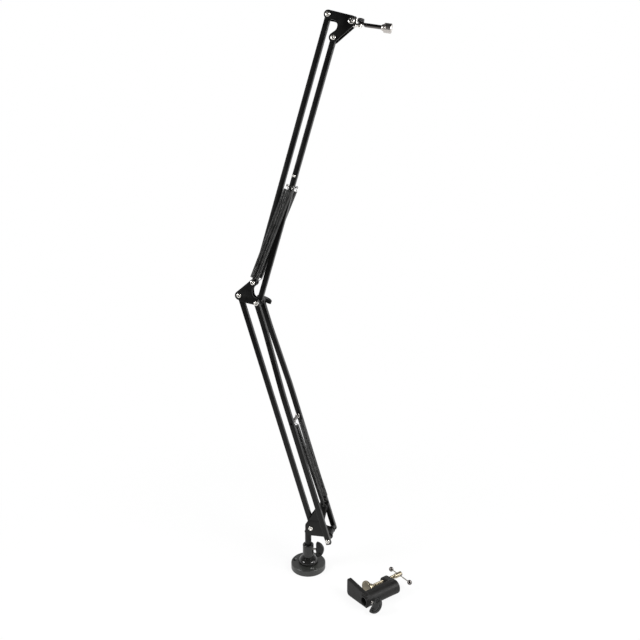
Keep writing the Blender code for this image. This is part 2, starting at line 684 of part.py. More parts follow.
def swivel():
    """Block between the head plates, with a tongue for the rod's eye and a knob that clamps it."""
    block = outline([(0, 0, 7.5), (BLOCK_FACE_U - 1, -6.0, 1.0), (BLOCK_FACE_U - 4, 4.0, 4.0)])
    body = prism("swivel_block", block, -BLOCK_HALF, BLOCK_HALF, ROD_FRAME @ ARM_PLANE)
    tongue = outline([(PAN_U, 0, EYE_R), (BLOCK_FACE_U - 4, BLOCK_HALF - 1, 1), (BLOCK_FACE_U - 4, 1 - BLOCK_HALF, 1)])
    join(body, prism("tongue", tongue, *TONGUE_W, ROD_FRAME))
    pan = ROD_FRAME @ Matrix.Translation(Vector((PAN_U, 0, 0)) * MM)
    stud_hole = rod("hole", PAN_STUD_R + GAP, TONGUE_W[0] - 3, TONGUE_W[1] + 3, pan)
    cut(body, pivot_hole(HEAD_ROD), stud_hole)
    low, high = KNOB_W
    bore = PAN_STUD_R + GAP
    roof = high - KNOB_CAP
    profile = [(0, roof), (bore, roof), (bore, low), (KNOB_R, low)]
    profile += [(KNOB_R, high - 0.8), (KNOB_R - 0.8, high), (0, high)]
    lathe("swivel_knob", profile, pan, 16)
    under = TONGUE_W[0] - GAP
    profile = [(0, under - 1.8), (2.8, under - 1.8), (2.8, under), (PAN_STUD_R, under)]
    profile += [(PAN_STUD_R, roof - GAP), (0, roof - GAP)]
    lathe("swivel_stud", profile, pan)


def microphone_rod():
    """Rod with a flat eye at its root, a collar, and the threaded adapter on its end."""
    place = ROD_FRAME @ frame((0, 0, ROD_W), (0, 1, 0), (1, 0, 0))
    body = rod("mic_rod", ROD_R, ROD_FROM, ROD_TO, place, 16)
    eye = outline([(PAN_U, 0, EYE_R), (ROD_FROM + 1.5, 1 - ROD_R, 0.8), (ROD_FROM + 1.5, ROD_R - 1, 0.8)])
    eye_hole = rod("hole", PAN_STUD_R + GAP, EYE_W[0] - 1, EYE_W[1] + 1,
                   ROD_FRAME @ Matrix.Translation(Vector((PAN_U, 0, 0)) * MM))
    join(body, prism("eye", eye, *EYE_W, ROD_FRAME))
    cut(body, eye_hole)
    bore = ROD_R + GAP
    low, high = COLLAR_U
    lathe("rod_collar", [(bore, low), (bore + 0.8, low), (bore + 1.8, high - 1), (bore + 1.8, high), (bore, high)],
          place, 16)
    low, high = ADAPTER_U
    edge = 0.5
    profile = [(0, ROD_TO + GAP), (bore, ROD_TO + GAP), (bore, low), (ADAPTER_R - edge, low), (ADAPTER_R, low + edge)]
    profile += [(ADAPTER_R, high - edge), (ADAPTER_R - edge, high), (0, high)]
    lathe("thread_adapter", profile, place, 20)


def clamp_body():
    """Cast clamp on its side: a jaw plate, a half-round spine with the post bore, and a lug for the screw."""
    bottom = CLAMP_Z - SPINE_WIDE / 2
    top = CLAMP_Z + SPINE_WIDE / 2
    jaw_top = CLAMP_Z + JAW_WIDE / 2
    jaw_low = CLAMP_Z - JAW_WIDE / 2
    along = CLAMP @ ALONG_X
    edge = JAW_TIP_HIGH_R
    jaw = [(JAW_REACH - JAW_TIP_LOW_R, jaw_low + JAW_TIP_LOW_R, JAW_TIP_LOW_R), (JAW_REACH - edge, jaw_top - edge, edge)]
    jaw += [(JAW_ROOT_Y, top - edge, edge), (JAW_ROOT_Y, bottom + edge, edge)]
    body = prism("clamp_body", outline(jaw), 0, JAW_THICK, along)
    lift = SPINE_WIDE / 2 - SPINE_ROUND_R
    inner = SPINE_DEEP - SPINE_EDGE_R
    spine = [(inner, bottom + SPINE_EDGE_R, SPINE_EDGE_R), (inner, top - SPINE_EDGE_R, SPINE_EDGE_R)]
    spine += [(SPINE_ROUND_R, CLAMP_Z + lift, SPINE_ROUND_R), (SPINE_ROUND_R, CLAMP_Z - lift, SPINE_ROUND_R)]
    lug = [(CLAMP_SCREW_Y - LUG_IN, CLAMP_Z, LUG_R)]
    lug += [(SPINE_ROUND_R, CLAMP_Z + side * lift, SPINE_ROUND_R + LUG_PROUD) for side in (1, -1)]
    boss = []
    for right, up in ((1, -1), (1, 1), (-1, 1), (-1, -1)):
        boss.append((CLAMP_BORE_Y + right * BOSS_HALF_Y, CLAMP_Z + up * BOSS_HALF_Z, BOSS_EDGE_R))
    join(
        body,
        prism("spine", outline(spine, 20), 0.5, SPINE_LONG, along),
        prism("lug", outline(lug), *LUG_X, along),
        prism("boss", outline(boss), -BOSS_TALL, 1, along),
    )
    bore = CLAMP @ frame((0, CLAMP_BORE_Y, CLAMP_Z), (0, 1, 0), (1, 0, 0))
    screw = CLAMP @ frame((0, CLAMP_SCREW_Y, CLAMP_Z), (0, 1, 0), (1, 0, 0))
    side = CLAMP @ frame((CLAMP_LOCK_X, 0, CLAMP_Z), (1, 0, 0), (0, 1, 0))
    cut(
        body,
        rod("bore", CLAMP_BORE_R, -BOSS_TALL - 1, CLAMP_BORE_DEEP, bore, 24),
        rod("hole", CLAMP_SCREW_R + GAP, LUG_X[0] - 1, LUG_X[1] + 1, screw, 16),
        rod("hole", SHANK + GAP, -5, CLAMP_BORE_Y, side),
    )


def clamp_screw():
    """Clamp screw through the lug, with its swivel pad and the sliding T-bar and balls."""
    place = CLAMP @ frame((0, CLAMP_SCREW_Y, CLAMP_Z), (0, 1, 0), (1, 0, 0))
    start, end = CLAMP_SCREW_X
    profile = [(0, start), (CLAMP_SCREW_R, start), (CLAMP_SCREW_R, SCREW_HEAD_X), (SCREW_HEAD_R, SCREW_HEAD_X)]
    profile += [(SCREW_HEAD_R, end - 1), (SCREW_HEAD_R - 1, end), (0, end)]
    body = lathe("clamp_screw", profile, place, 16)
    bar_place = CLAMP @ frame((T_BAR_X, T_BAR_Y, CLAMP_Z), (1, 0, 0), (0, 1, 0))
    cut(body, rod("hole", T_BAR_R + GAP, -20, 20, bar_place))
    low = PAD_X
    seat = start - GAP
    profile = [(0, low), (PAD_R, low), (PAD_R, low + PAD_THICK), (PAD_HUB_R, low + PAD_THICK)]
    profile += [(PAD_HUB_R, low + PAD_THICK + PAD_HUB), (CLAMP_SCREW_R + GAP, low + PAD_THICK + PAD_HUB)]
    profile += [(CLAMP_SCREW_R + GAP, seat), (0, seat)]
    lathe("clamp_pad", profile, place, 20)
    rod("clamp_t_bar", T_BAR_R, GAP - T_BAR_HALF, T_BAR_HALF - GAP, bar_place)
    for end, word in ((-1, "low"), (1, "high")):
        ball_place = bar_place @ frame((0, 0, end * T_BAR_HALF), (1, 0, 0), (0, 0, end))
        mouth = math.sqrt(BALL_R ** 2 - (T_BAR_R + GAP) ** 2)
        profile = [(0, 0), (T_BAR_R + GAP, 0), (T_BAR_R + GAP, -mouth)]
        for turn in (-50, -25, 0, 25, 50, 72):
            profile.append((BALL_R * math.cos(math.radians(turn)), BALL_R * math.sin(math.radians(turn))))
        profile.append((0, BALL_R))
        lathe(f"clamp_ball_{word}", profile, ball_place, 16)


def clamp_lock():
    """Thumbscrew on the spine's round side, at the post bore."""
    turn = math.radians(CLAMP_LOCK_TURN)
    at = (CLAMP_LOCK_X, 0, CLAMP_Z)
    place = CLAMP @ frame(at, (0, -1, 0), (math.sin(turn), 0, math.cos(turn)))
    lock("clamp_lock", place, CLAMP_BORE_R - CLAMP_BORE_Y + 0.5, LOCK_STEM)


def build():
    for old in list(bpy.data.objects):
        bpy.data.objects.remove(old)
    flange()
    socket()
    lock("post_lock", frame((0, 0, LOCK_Z), (1, 0, 0), (0, 0, 1)), POST_R + GAP, SOCKET_R + LOCK_STEM)
    post()
    lower_bracket()
    foot_fasteners()
    straight_bar("lower_rear_bar", REAR_FOOT, LOWER_LEAN)
    front_pair()
    lower_springs()
    elbow_plates()
    elbow_fasteners()
    straight_bar("upper_rear_bar", ELBOW_TOP, UPPER_LEAN)
    straight_bar("upper_front_bar", ELBOW_FRONT, UPPER_LEAN, [HANG_BOLT_UP])
    spring_hangers()
    upper_springs()
    head_plates()
    head_fasteners()
    swivel()
    microphone_rod()
    clamp_body()
    clamp_screw()
    clamp_lock()


build()
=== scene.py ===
# %% [markdown]
# # Microphone stand
# A spring-balanced desk arm stands in a screw-down flange, and its table clamp lies beside it.
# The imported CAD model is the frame: it gives every pivot and every size. This script puts the finished
# surfaces round that frame, one piece for each CAD part, and lights them like the photograph.

# %% Load the frame
import json
import math

import bmesh
import bpy
import numpy as np
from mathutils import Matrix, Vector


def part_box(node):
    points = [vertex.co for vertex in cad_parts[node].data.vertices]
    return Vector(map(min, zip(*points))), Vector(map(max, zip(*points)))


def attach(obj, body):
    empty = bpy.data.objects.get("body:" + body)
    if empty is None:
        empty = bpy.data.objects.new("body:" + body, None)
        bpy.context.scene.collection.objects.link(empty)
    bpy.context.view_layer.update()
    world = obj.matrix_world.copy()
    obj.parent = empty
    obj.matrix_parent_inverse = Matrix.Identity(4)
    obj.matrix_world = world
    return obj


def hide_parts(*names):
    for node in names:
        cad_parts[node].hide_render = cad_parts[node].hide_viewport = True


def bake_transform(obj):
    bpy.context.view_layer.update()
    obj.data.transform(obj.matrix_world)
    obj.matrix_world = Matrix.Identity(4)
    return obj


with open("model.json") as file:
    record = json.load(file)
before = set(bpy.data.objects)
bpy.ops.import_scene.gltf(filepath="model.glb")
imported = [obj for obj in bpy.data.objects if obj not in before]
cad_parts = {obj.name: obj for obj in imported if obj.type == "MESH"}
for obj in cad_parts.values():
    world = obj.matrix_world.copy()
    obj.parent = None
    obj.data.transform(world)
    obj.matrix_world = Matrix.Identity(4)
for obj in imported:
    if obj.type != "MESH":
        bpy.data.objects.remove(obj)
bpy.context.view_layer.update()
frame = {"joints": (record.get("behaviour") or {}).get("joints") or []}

# %% [markdown]
# ## Pivots
# Lengths below are in millimetres. The arms are two parallelograms, so seven joints give all nine pivots:
# the two that no joint names are a parallelogram's fourth corners. Reading them from the frame keeps
# every screw and bar on its CAD axis, which typed-in numbers would not promise.

# %% Pivots from the joints
MM = 0.001


def unit(vector):
    """Vector of length one."""
    vector = np.asarray(vector, float)
    return vector / np.linalg.norm(vector)


AT = {joint["name"]: np.array(joint["pos_m"]) / MM for joint in frame["joints"] if "pos_m" in joint}
AXIS = {joint["name"]: unit(joint["axis"]) for joint in frame["joints"]}
FRONT_FOOT, REAR_FOOT = AT["lower_swing"], AT["lower_rear_swing"]
ELBOW_FRONT, ELBOW_TOP = AT["elbow_level"], AT["upper_rear_swing"]
HEAD_FRONT, HEAD_ROD = AT["head_level"], AT["mic_tilt"]
ELBOW_REAR = ELBOW_FRONT + REAR_FOOT - FRONT_FOOT
HEAD_REAR = ELBOW_TOP + HEAD_FRONT - ELBOW_FRONT
UP_LOWER, UP_UPPER = unit(ELBOW_FRONT - FRONT_FOOT), unit(HEAD_FRONT - ELBOW_FRONT)
X, Y, Z = np.eye(3)
SIDES = ((-1, "near"), (1, "far"))
print("lower arm", round(np.linalg.norm(ELBOW_FRONT - FRONT_FOOT), 1), "mm between pivots")


def box(node):
    """Lowest and highest corners of a CAD part."""
    return [np.array(corner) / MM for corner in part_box(node)]


# %% [markdown]
# ## From grids to meshes
# Every surface here is a grid of points. A local frame has an origin, an X axis and a Z axis, and its
# points go to origin + x·X + y·Y + z·Z. Neighbours on the grid share quads, its columns close on
# themselves, and its first and last rows get a cap, so each shell is closed. Merging doubled points
# turns a row of radius zero into a clean pole.

# %% Placing and stitching
UPRIGHT = ((0, 0, 0), X, Z)


def across(pivot):
    """Frame at a pivot whose Z points to the near side, so x and y are the arm plane's x and z."""
    return pivot, X, -Y


def placed(points, place):
    """Points of a local frame: origin + x·X + y·Y + z·Z, where Y is Z × X."""
    origin, x_axis, z_axis = (np.asarray(part, float) for part in place)
    axes = np.stack([unit(x_axis), unit(np.cross(z_axis, x_axis)), unit(z_axis)])
    return origin + points @ axes


def put_in_scene(name, data):
    """New object of this mesh, curve, lamp or camera."""
    thing = bpy.data.objects.new(name, data)
    bpy.context.scene.collection.objects.link(thing)
    return thing


def shell(grid, ring=False):
    """Closed shell of a grid: a quad between neighbours, and caps unless the rows close in a ring too."""
    rows, columns = grid.shape[:2]
    number = np.arange(rows * columns).reshape(rows, columns)
    low = number if ring else number[:-1]
    high = np.roll(number, -1, axis=0)[:len(low)]
    corners = [low, np.roll(low, -1, axis=1), np.roll(high, -1, axis=1), high]
    faces = np.stack(corners, axis=-1).reshape(-1, 4).tolist()
    if not ring:
        faces += [number[0].tolist(), number[-1].tolist()]
    return grid.reshape(-1, 3), faces


def build(name, *shells):
    """One object at the origin from closed shells, with doubled points merged and faces turned outwards."""
    points, faces, count = [], [], 0
    for shell_points, shell_faces in shells:
        faces += [[corner + count for corner in face] for face in shell_faces]
        points.append(shell_points)
        count += len(shell_points)
    mesh = bpy.data.meshes.new(name)
    mesh.from_pydata((np.concatenate(points) * MM).tolist(), [], faces)
    work = bmesh.new()
    work.from_mesh(mesh)
    bmesh.ops.remove_doubles(work, verts=work.verts, dist=2e-6)
    bmesh.ops.recalc_face_normals(work, faces=work.faces)
    work.to_mesh(mesh)
    work.free()
    return put_in_scene(name, mesh)


def settle(thing):
    """Apply an object's modifiers to its mesh."""
    shape = bpy.data.meshes.new_from_object(thing.evaluated_get(bpy.context.evaluated_depsgraph_get()))
    thing.modifiers.clear()
    thing.data = shape


def drill(thing, *cutters):
    """Cut closed shells out of an object."""
    tools = [build("cutter", cutter) for cutter in cutters]
    for tool in tools:
        cut = thing.modifiers.new("cut", "BOOLEAN")
        cut.operation = "DIFFERENCE"
        cut.solver = "EXACT"
        cut.object = tool
    settle(thing)
    for tool in tools:
        bpy.data.objects.remove(tool)
    return thing


# %% [markdown]
# ## Finishes
# The real stand has satin black paint on its steel, a glossier socket, a rougher casting, nickel on its
# screws, yellowish zinc on the clamp screw, chrome at the head, dark spring wire and moulded plastic.
# Each finish is one shader with two noises on Object coordinates: a coarse one drifts the colour and the
# roughness over centimetres, as handling and plating do, and a fine one is the paint's or the casting's
# skin as bump. A third, stretched noise gives drawn wire and turned metal its fine lines.

# %% One finish for each slot of the record
NOISE_LOW, NOISE_HIGH = 0.3, 0.7


def feed(tree, node, inputs):
    """Give a node's inputs their values, or join them to the outputs that feed them."""
    for key, value in inputs.items():
        if isinstance(value, bpy.types.NodeSocket):
            tree.links.new(value, node.inputs[key])
        else:
            node.inputs[key].default_value = value


def add(tree, kind, inputs, output=0, **settings):
    """New shader node with its settings and inputs; returns the output that is used."""
    node = tree.nodes.new("ShaderNode" + kind)
    for key, value in settings.items():
        setattr(node, key, value)
    feed(tree, node, inputs)
    return node.outputs[output]


def ranged(tree, value, low, high, start, stop, curve="LINEAR"):
    """Map range node: low to high becomes start to stop."""
    inputs = {"Value": value, "From Min": low, "From Max": high, "To Min": start, "To Max": stop}
    return add(tree, "MapRange", inputs, "Result", interpolation_type=curve)


def finish(name, colour, metallic, rough, skin, depth, drift=0.25, specular=0.5, lines=0.0):
    """Shader whose colour and roughness follow a coarse noise, and whose bump follows a fine one."""
    material = bpy.data.materials.new(name)
    material.use_nodes = True
    tree = material.node_tree
    spot = add(tree, "TexCoord", {}, "Object")
    coarse = add(tree, "TexNoise", {"Vector": spot, "Scale": 55, "Detail": 5}, "Fac")
    tones = add(tree, "ValToRGB", {"Fac": coarse}, "Color")
    ends = zip(tones.node.color_ramp.elements, (NOISE_LOW, NOISE_HIGH), (1 - drift, 1 + drift))
    for element, position, share in ends:
        element.position = position
        element.color = (*(min(1, part * share) for part in colour), 1)
    spread = ranged(tree, coarse, NOISE_LOW, NOISE_HIGH, *rough)
    fine = add(tree, "TexNoise", {"Vector": spot, "Scale": skin, "Detail": 3}, "Fac")
    normal = add(tree, "Bump", {"Strength": 0.6, "Distance": depth * MM, "Height": fine}, "Normal")
    if lines:
        stretch = add(tree, "Mapping", {"Scale": (9000, 9000, 150), "Vector": spot}, "Vector")
        drawn = add(tree, "TexNoise", {"Scale": 1, "Vector": stretch}, "Fac")
        brush = {"Strength": lines, "Distance": 0.02 * MM, "Height": drawn, "Normal": normal}
        normal = add(tree, "Bump", brush, "Normal")
    feed(tree, tree.nodes["Principled BSDF"], {
        "Metallic": metallic, "Specular IOR Level": specular,
        "Base Color": tones, "Roughness": spread, "Normal": normal,
    })
    return material


FINISHES = {
    "black_paint": finish("black paint", (0.0028, 0.0027, 0.0026), 0, (0.3, 0.42), 900, 0.05, specular=0.28),
    "flange_paint": finish("flange paint", (0.018, 0.019, 0.017), 0, (0.32, 0.44), 700, 0.07, specular=0.6),
    "socket_gloss": finish("socket gloss", (0.012, 0.012, 0.0115), 0, (0.07, 0.13), 500, 0.04, specular=0.45),
    "cast_black": finish("cast black", (0.0066, 0.0062, 0.0058), 0, (0.46, 0.6), 420, 0.16, specular=0.3),
    "bolt_steel": finish("nickel", (0.74, 0.72, 0.68), 1, (0.16, 0.3), 900, 0.01, 0.08, lines=0.3),
    "spring_steel": finish("spring wire", (0.075, 0.075, 0.074), 1, (0.4, 0.5), 1200, 0.01, 0.25),
    "zinc_plate": finish("zinc plate", (0.36, 0.315, 0.23), 1, (0.3, 0.42), 800, 0.01, 0.15, lines=0.3),
    "dark_chrome": finish("dark chrome", (0.165, 0.152, 0.146), 1, (0.1, 0.2), 500, 0.01, 0.12),
    "bright_chrome": finish("bright chrome", (0.58, 0.55, 0.52), 1, (0.26, 0.36), 500, 0.01, 0.05),
    "black_plastic": finish("black plastic", (0.008, 0.0082, 0.0082), 0, (0.36, 0.5), 1500, 0.05, specular=0.3),
}
print(len(FINISHES), "finishes")


def dress(thing, slot, body, *nodes, crease=32):
    """Shade an object, give it a finish, set it on its body and let it stand for its CAD parts."""
    thing.data.materials.clear()
    thing.data.materials.append(FINISHES[slot])
    thing.data.shade_smooth()
    thing.data.set_sharp_from_angle(angle=math.radians(crease))
    if body:
        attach(thing, body)
    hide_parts(*nodes)
    print(thing.name, len(thing.data.polygons), "faces")


def two_tone(thing, slot, chosen):
    """Give a second finish to the faces whose centres, in millimetres, are chosen."""
    thing.data.materials.append(FINISHES[slot])
    centres = np.array([face.center for face in thing.data.polygons]) / MM
    thing.data.polygons.foreach_set("material_index", np.asarray(chosen(centres), dtype=np.int32))


# %% [markdown]
# ## Turned pieces: the flange
# The flange is a turned disc with a rounded rim, a shallow groove near its edge and three countersunk
# screw holes. A turned piece is a profile of radius and height carried round its axis. A profile's
# corners are softened by short quadratic curves, because an edge with no radius catches no light.

# %% Profiles and turning


def soften(line, reach=0.4, steps=4):
    """Line whose inner corners become curves (1-s)²·a + 2s(1-s)·corner + s²·b, with a and b within reach."""
    line = np.asarray(line, float)
    corner = line[1:-1]

    def toward(points):
        way = points - corner
        return corner + way * np.minimum(reach / np.linalg.norm(way, axis=1, keepdims=True), 0.45)

    share = np.linspace(0, 1, steps + 1)[None, :, None]
    curve = (1 - share) ** 2 * toward(line[:-2])[:, None] + 2 * share * (1 - share) * corner[:, None]
    curve = curve + share ** 2 * toward(line[2:])[:, None]
    return np.vstack([line[:1], curve.reshape(-1, line.shape[1]), line[-1:]])


def plain_rod(radius, low, high):
    """Profile of a plain rod or hole: out along one end, up the side and back in."""
    return [(0, low), (radius, low), (radius, high), (0, high)]


def straight_side(radius, low, high, count):
    """Profile points of one radius, at even steps of height."""
    return np.column_stack([np.full(count, radius), np.linspace(low, high, count)])


def turned(profile, place=UPRIGHT, sides=64, shape=None, ring=False):
    """Surface of revolution: r·cos(turn), r·sin(turn), height, where shape may change r by turn and height."""
    profile = np.asarray(profile, float)
    turn = np.linspace(0, 2 * np.pi, sides, endpoint=False)
    radius = profile[:, :1] + 0 * turn
    height = profile[:, 1:] + 0 * turn
    if shape:
        radius = shape(radius, turn, height)
    grid = np.stack([radius * np.cos(turn), radius * np.sin(turn), height], axis=-1)
    return shell(placed(grid, place), ring)


# %% Flange
FLANGE_R, FLANGE_TOP = box("flange")[1][[0, 2]]
GROOVE_R, GROOVE_DEEP = 29.4, 0.5
SEAT_R, SEAT_DEEP = 18.7, 0.25
SCREW_RING_R, SCREW_HOLE_R, SINK_R, SINK_DEEP, SCREWS_AT = 26.3, 2.4, 4.4, 2.2, (60, 180, 300)
flange_profile = [
    (0, 0), (FLANGE_R - 0.8, 0), (FLANGE_R, 0.8), (FLANGE_R, FLANGE_TOP - 1.1), (FLANGE_R - 1.1, FLANGE_TOP),
    (GROOVE_R + 0.7, FLANGE_TOP), (GROOVE_R + 0.3, FLANGE_TOP - GROOVE_DEEP),
    (GROOVE_R - 0.3, FLANGE_TOP - GROOVE_DEEP), (GROOVE_R - 0.7, FLANGE_TOP),
    (SEAT_R, FLANGE_TOP), (SEAT_R - 0.2, FLANGE_TOP - SEAT_DEEP), (0, FLANGE_TOP - SEAT_DEEP),
]
sinks = []
for turn in np.radians(SCREWS_AT):
    spot = SCREW_RING_R * (math.cos(turn) * X + math.sin(turn) * Y)
    sink = [(0, -1), (SCREW_HOLE_R, -1), (SCREW_HOLE_R, FLANGE_TOP - SINK_DEEP), (SINK_R, FLANGE_TOP + 0.01)]
    sinks.append(turned(sink + [(SINK_R, FLANGE_TOP + 1), (0, FLANGE_TOP + 1)], (spot, X, Z), 48))
flange = drill(build("flange_turned", turned(soften(flange_profile, 0.5), sides=160)), *sinks)
dress(flange, "flange_paint", "base", "flange")

# %% [markdown]
# ## Socket and post
# The socket is a glossy flared tube with a rolled rim. On its right side a tall rounded pocket takes the
# thumbscrew. The pocket could be a boolean cut, but here the tube's own points are pressed in to a flat
# floor by a soft mask, which gives it the rounded lip of a casting.

# %% Socket
LOCK_Z, SOCKET_FOOT, SOCKET_TOP = AT["post_lock_turn"][2], FLANGE_TOP + 0.3, box("socket")[1][2]
SOCKET_R, SOCKET_FOOT_R, BELL_UP, BELL_TALL, RIM_ROUND = 10.5, 18.0, 1.5, 7.5, 2.0
POST_R, BORE_R, BORE_SEEN = 6.0, 6.3, 30.0
POCKET_FLOOR, POCKET_R, POCKET_HALF = 8.5, 4.2, 4.0


def pocket_mask(y, z):
    """One inside the pocket's rounded slot and nothing outside it, with a soft edge."""
    beyond = np.maximum(np.abs(z - LOCK_Z) - POCKET_HALF, 0)
    return np.clip((POCKET_R - np.hypot(y, beyond)) / 0.5 + 0.5, 0, 1)


def pressed(radius, turn, height):
    """Tube radius, pressed in by the mask on the +X side to a flat floor, which is its distance / cos(turn)."""
    facing = np.cos(turn) > 0.3
    floor = POCKET_FLOOR / np.maximum(np.cos(turn), 0.3)
    mask = np.where(facing & (radius > POCKET_FLOOR), pocket_mask(radius * np.sin(turn), height), 0)
    return radius + mask * np.minimum(floor - radius, 0)


bell = np.radians(np.linspace(0, 90, 13))
bell_r = SOCKET_R + (SOCKET_FOOT_R - SOCKET_R) * np.cos(bell)
bell_z = SOCKET_FOOT + BELL_UP + BELL_TALL * np.sin(bell)
rim = np.radians(np.linspace(0, 90, 7))
socket_rows = [
    np.array([(0, SOCKET_FOOT), (SOCKET_FOOT_R - 0.4, SOCKET_FOOT), (SOCKET_FOOT_R, SOCKET_FOOT + 0.4)]),
    np.column_stack([bell_r, bell_z]),
    straight_side(SOCKET_R, bell_z[-1] + 1.2, SOCKET_TOP - 2.2, 70),
    np.column_stack([SOCKET_R, SOCKET_TOP]) - RIM_ROUND * (1 - np.column_stack([np.cos(rim), np.sin(rim)])),
    np.array([(BORE_R + 0.9, SOCKET_TOP), (BORE_R + 0.2, SOCKET_TOP - 0.4), (BORE_R, SOCKET_TOP - 1.2)]),
    np.array([(BORE_R, BORE_SEEN), (0, BORE_SEEN)]),
]
socket = build("socket_cast", turned(np.vstack(socket_rows), sides=144, shape=pressed))
dress(socket, "socket_gloss", "base", "socket", crease=50)

# %% Post
POST_TOP, WEB_LOW, WEB_HIGH = box("post")[1][2], 73.0, 75.0
STUD_R, PEEN_R = 4.0, 5.3
post_profile = [
    (0, BORE_SEEN + 0.2), (POST_R - 0.6, BORE_SEEN + 0.2), (POST_R, BORE_SEEN + 0.8), (POST_R, WEB_LOW - 0.8),
    (POST_R - 0.5, WEB_LOW - 0.3), (STUD_R, WEB_LOW - 0.3), (STUD_R, WEB_HIGH + 0.3), (PEEN_R, WEB_HIGH + 0.3),
    (PEEN_R, WEB_HIGH + 1.2), (PEEN_R - 1.4, POST_TOP - 0.2), (0, POST_TOP),
]
dress(build("post_turned", turned(soften(post_profile, 0.5), sides=72)), "black_paint", "bracket", "post")

# %% [markdown]
# ## Flat pieces: the bracket
# Above the post sits a folded steel channel: a web, two cheeks, and lugs that lean inwards above a crease.
# A flat piece is an outline round a few circles, joined by common tangents, and a negative radius makes a
# hollow. Shrinking every radius by the same amount moves the whole edge inwards, so a few shrunk
# copies of the outline give the sheet its rounded edges.

# %% Outlines and slabs


def outline(circles, inset=0.0, step=7.5):
    """Anticlockwise outline round circles of x, y, radius: each arc runs between its two tangents' angles."""
    circles = np.array(circles, float) - (0, 0, inset)
    way = np.roll(circles, -1, axis=0) - circles
    fall = -way[:, 2] / np.hypot(way[:, 0], way[:, 1])
    leave = np.arctan2(way[:, 1], way[:, 0]) - np.arccos(np.clip(fall, -1, 1))
    arrive = np.roll(leave, 1)
    sign = np.sign(circles[:, 2])
    sweep = sign * ((sign * (leave - arrive) + 0.01) % (2 * np.pi) - 0.01)
    arcs = []
    for (x, y, radius), first, angle in zip(circles, arrive, sweep):
        parts = max(1, math.ceil(abs(angle) / math.radians(step) - 1e-6))
        turn = first + angle * np.linspace(0, 1, parts + 1)
        arcs.append(np.column_stack([x + radius * np.cos(turn), y + radius * np.sin(turn)]))
    return np.concatenate(arcs)


def slab(circles, low, high, place, edge=0.35):
    """Flat piece between two heights: at an angle a its edge is inset by edge·(1 - sin a)."""
    bend = np.radians((0, 30, 60, 90))
    rows = [(edge * (1 - math.sin(a)), low + edge * (1 - math.cos(a))) for a in bend]
    rows += [(inset, low + high - height) for inset, height in reversed(rows)]
    grid = []
    for inset, height in rows:
        flat = outline(circles, inset)
        grid.append(np.column_stack([flat, np.full(len(flat), height)]))
    return shell(placed(np.stack(grid), place))


def corners(left, right, low, high, radius):
    """Circles of a rectangle with rounded corners."""
    left, right, low, high = left + radius, right - radius, low + radius, high - radius
    return [(left, low, radius), (right, low, radius), (right, high, radius), (left, high, radius)]


def around(pivot, right, up, radius):
    """Circle of an outline, placed from a pivot."""
    return pivot[0] + right, pivot[2] + up, radius


# %% Bracket
ARM_PLANE = across((0, 0, 0))
CHEEK_OUTER, SHEET, TONGUE_R = 12.0, 2.0, 6.8
CREASE_Z, CREASE_HALF, LUG_LEAN = 104.0, 1.2, 0.06
LUG_HOLE, LUG_HOLE_R = np.array([32.0, 0, 134.0]), 2.0
left = REAR_FOOT[0] - 10.5
cheek = [
    (left + 1, WEB_LOW + 1, 1), (FRONT_FOOT[0] - 7.7, WEB_LOW - 3, -3), around(FRONT_FOOT, 0, 0, 6.2),
    around(FRONT_FOOT, -5.2, 15.6, -9), around(LUG_HOLE, 3, -1, 2.5), around(LUG_HOLE, -3.5, 3.5, 2.5),
    (left + 5, REAR_FOOT[2] + 5.1, 5),
]
web = corners(left + 0.3, FRONT_FOOT[0] - 9.2, 0.5 - CHEEK_OUTER, CHEEK_OUTER - 0.5, 0.8)
cheeks = [slab(cheek, *sorted((side * CHEEK_OUTER, side * (CHEEK_OUTER - SHEET))), ARM_PLANE, 0.45)
          for side in (1, -1)]
tongue = turned([(0, WEB_LOW), (TONGUE_R - 0.4, WEB_LOW), (TONGUE_R, WEB_LOW + 0.4),
                 (TONGUE_R, WEB_HIGH - 0.4), (TONGUE_R - 0.4, WEB_HIGH), (0, WEB_HIGH)])
bracket = build("bracket_folded", *cheeks, slab(web, WEB_LOW, WEB_HIGH, UPRIGHT, 0.4), tongue)
work = bmesh.new()
work.from_mesh(bracket.data)
for height in (CREASE_Z - CREASE_HALF, CREASE_Z, CREASE_Z + CREASE_HALF):
    everything = work.verts[:] + work.edges[:] + work.faces[:]
    bmesh.ops.bisect_plane(work, geom=everything, plane_co=(0, 0, height * MM), plane_no=(0, 0, 1))
work.to_mesh(bracket.data)
work.free()
spots = np.empty(3 * len(bracket.data.vertices))
bracket.data.vertices.foreach_get("co", spots)
spots = spots.reshape(-1, 3)
above = np.maximum(spots[:, 2] - CREASE_Z * MM, 0)
crease = 0.3 * MM * (np.abs(spots[:, 2] / MM - CREASE_Z) < 0.5)
spots[:, 1] -= np.sign(spots[:, 1]) * (LUG_LEAN * above + crease)
bracket.data.vertices.foreach_set("co", spots.ravel())
drill(bracket, turned(plain_rod(LUG_HOLE_R, -60, 60), across(LUG_HOLE), 32))
dress(bracket, "black_paint", "bracket", "lower_bracket", crease=20)

# %% [markdown]
# ## Bars
# Each arm is square steel tube with rounded corners. The lower front pair is close together at the
# elbow and spreads towards the foot in two gentle bends. A tube is its cross-section carried along a
# path, out over the outside and back through the bore, so the grid closes in both directions and the
# open ends show a real wall.

# %% Square tube
BAR, WALL, CORNER_R = 9.0, 1.0, 1.1


def square(half, radius):
    """Rounded square, anticlockwise, as arcs round its four corners."""
    return outline(corners(-half, half, -half, half, radius), step=22.5)


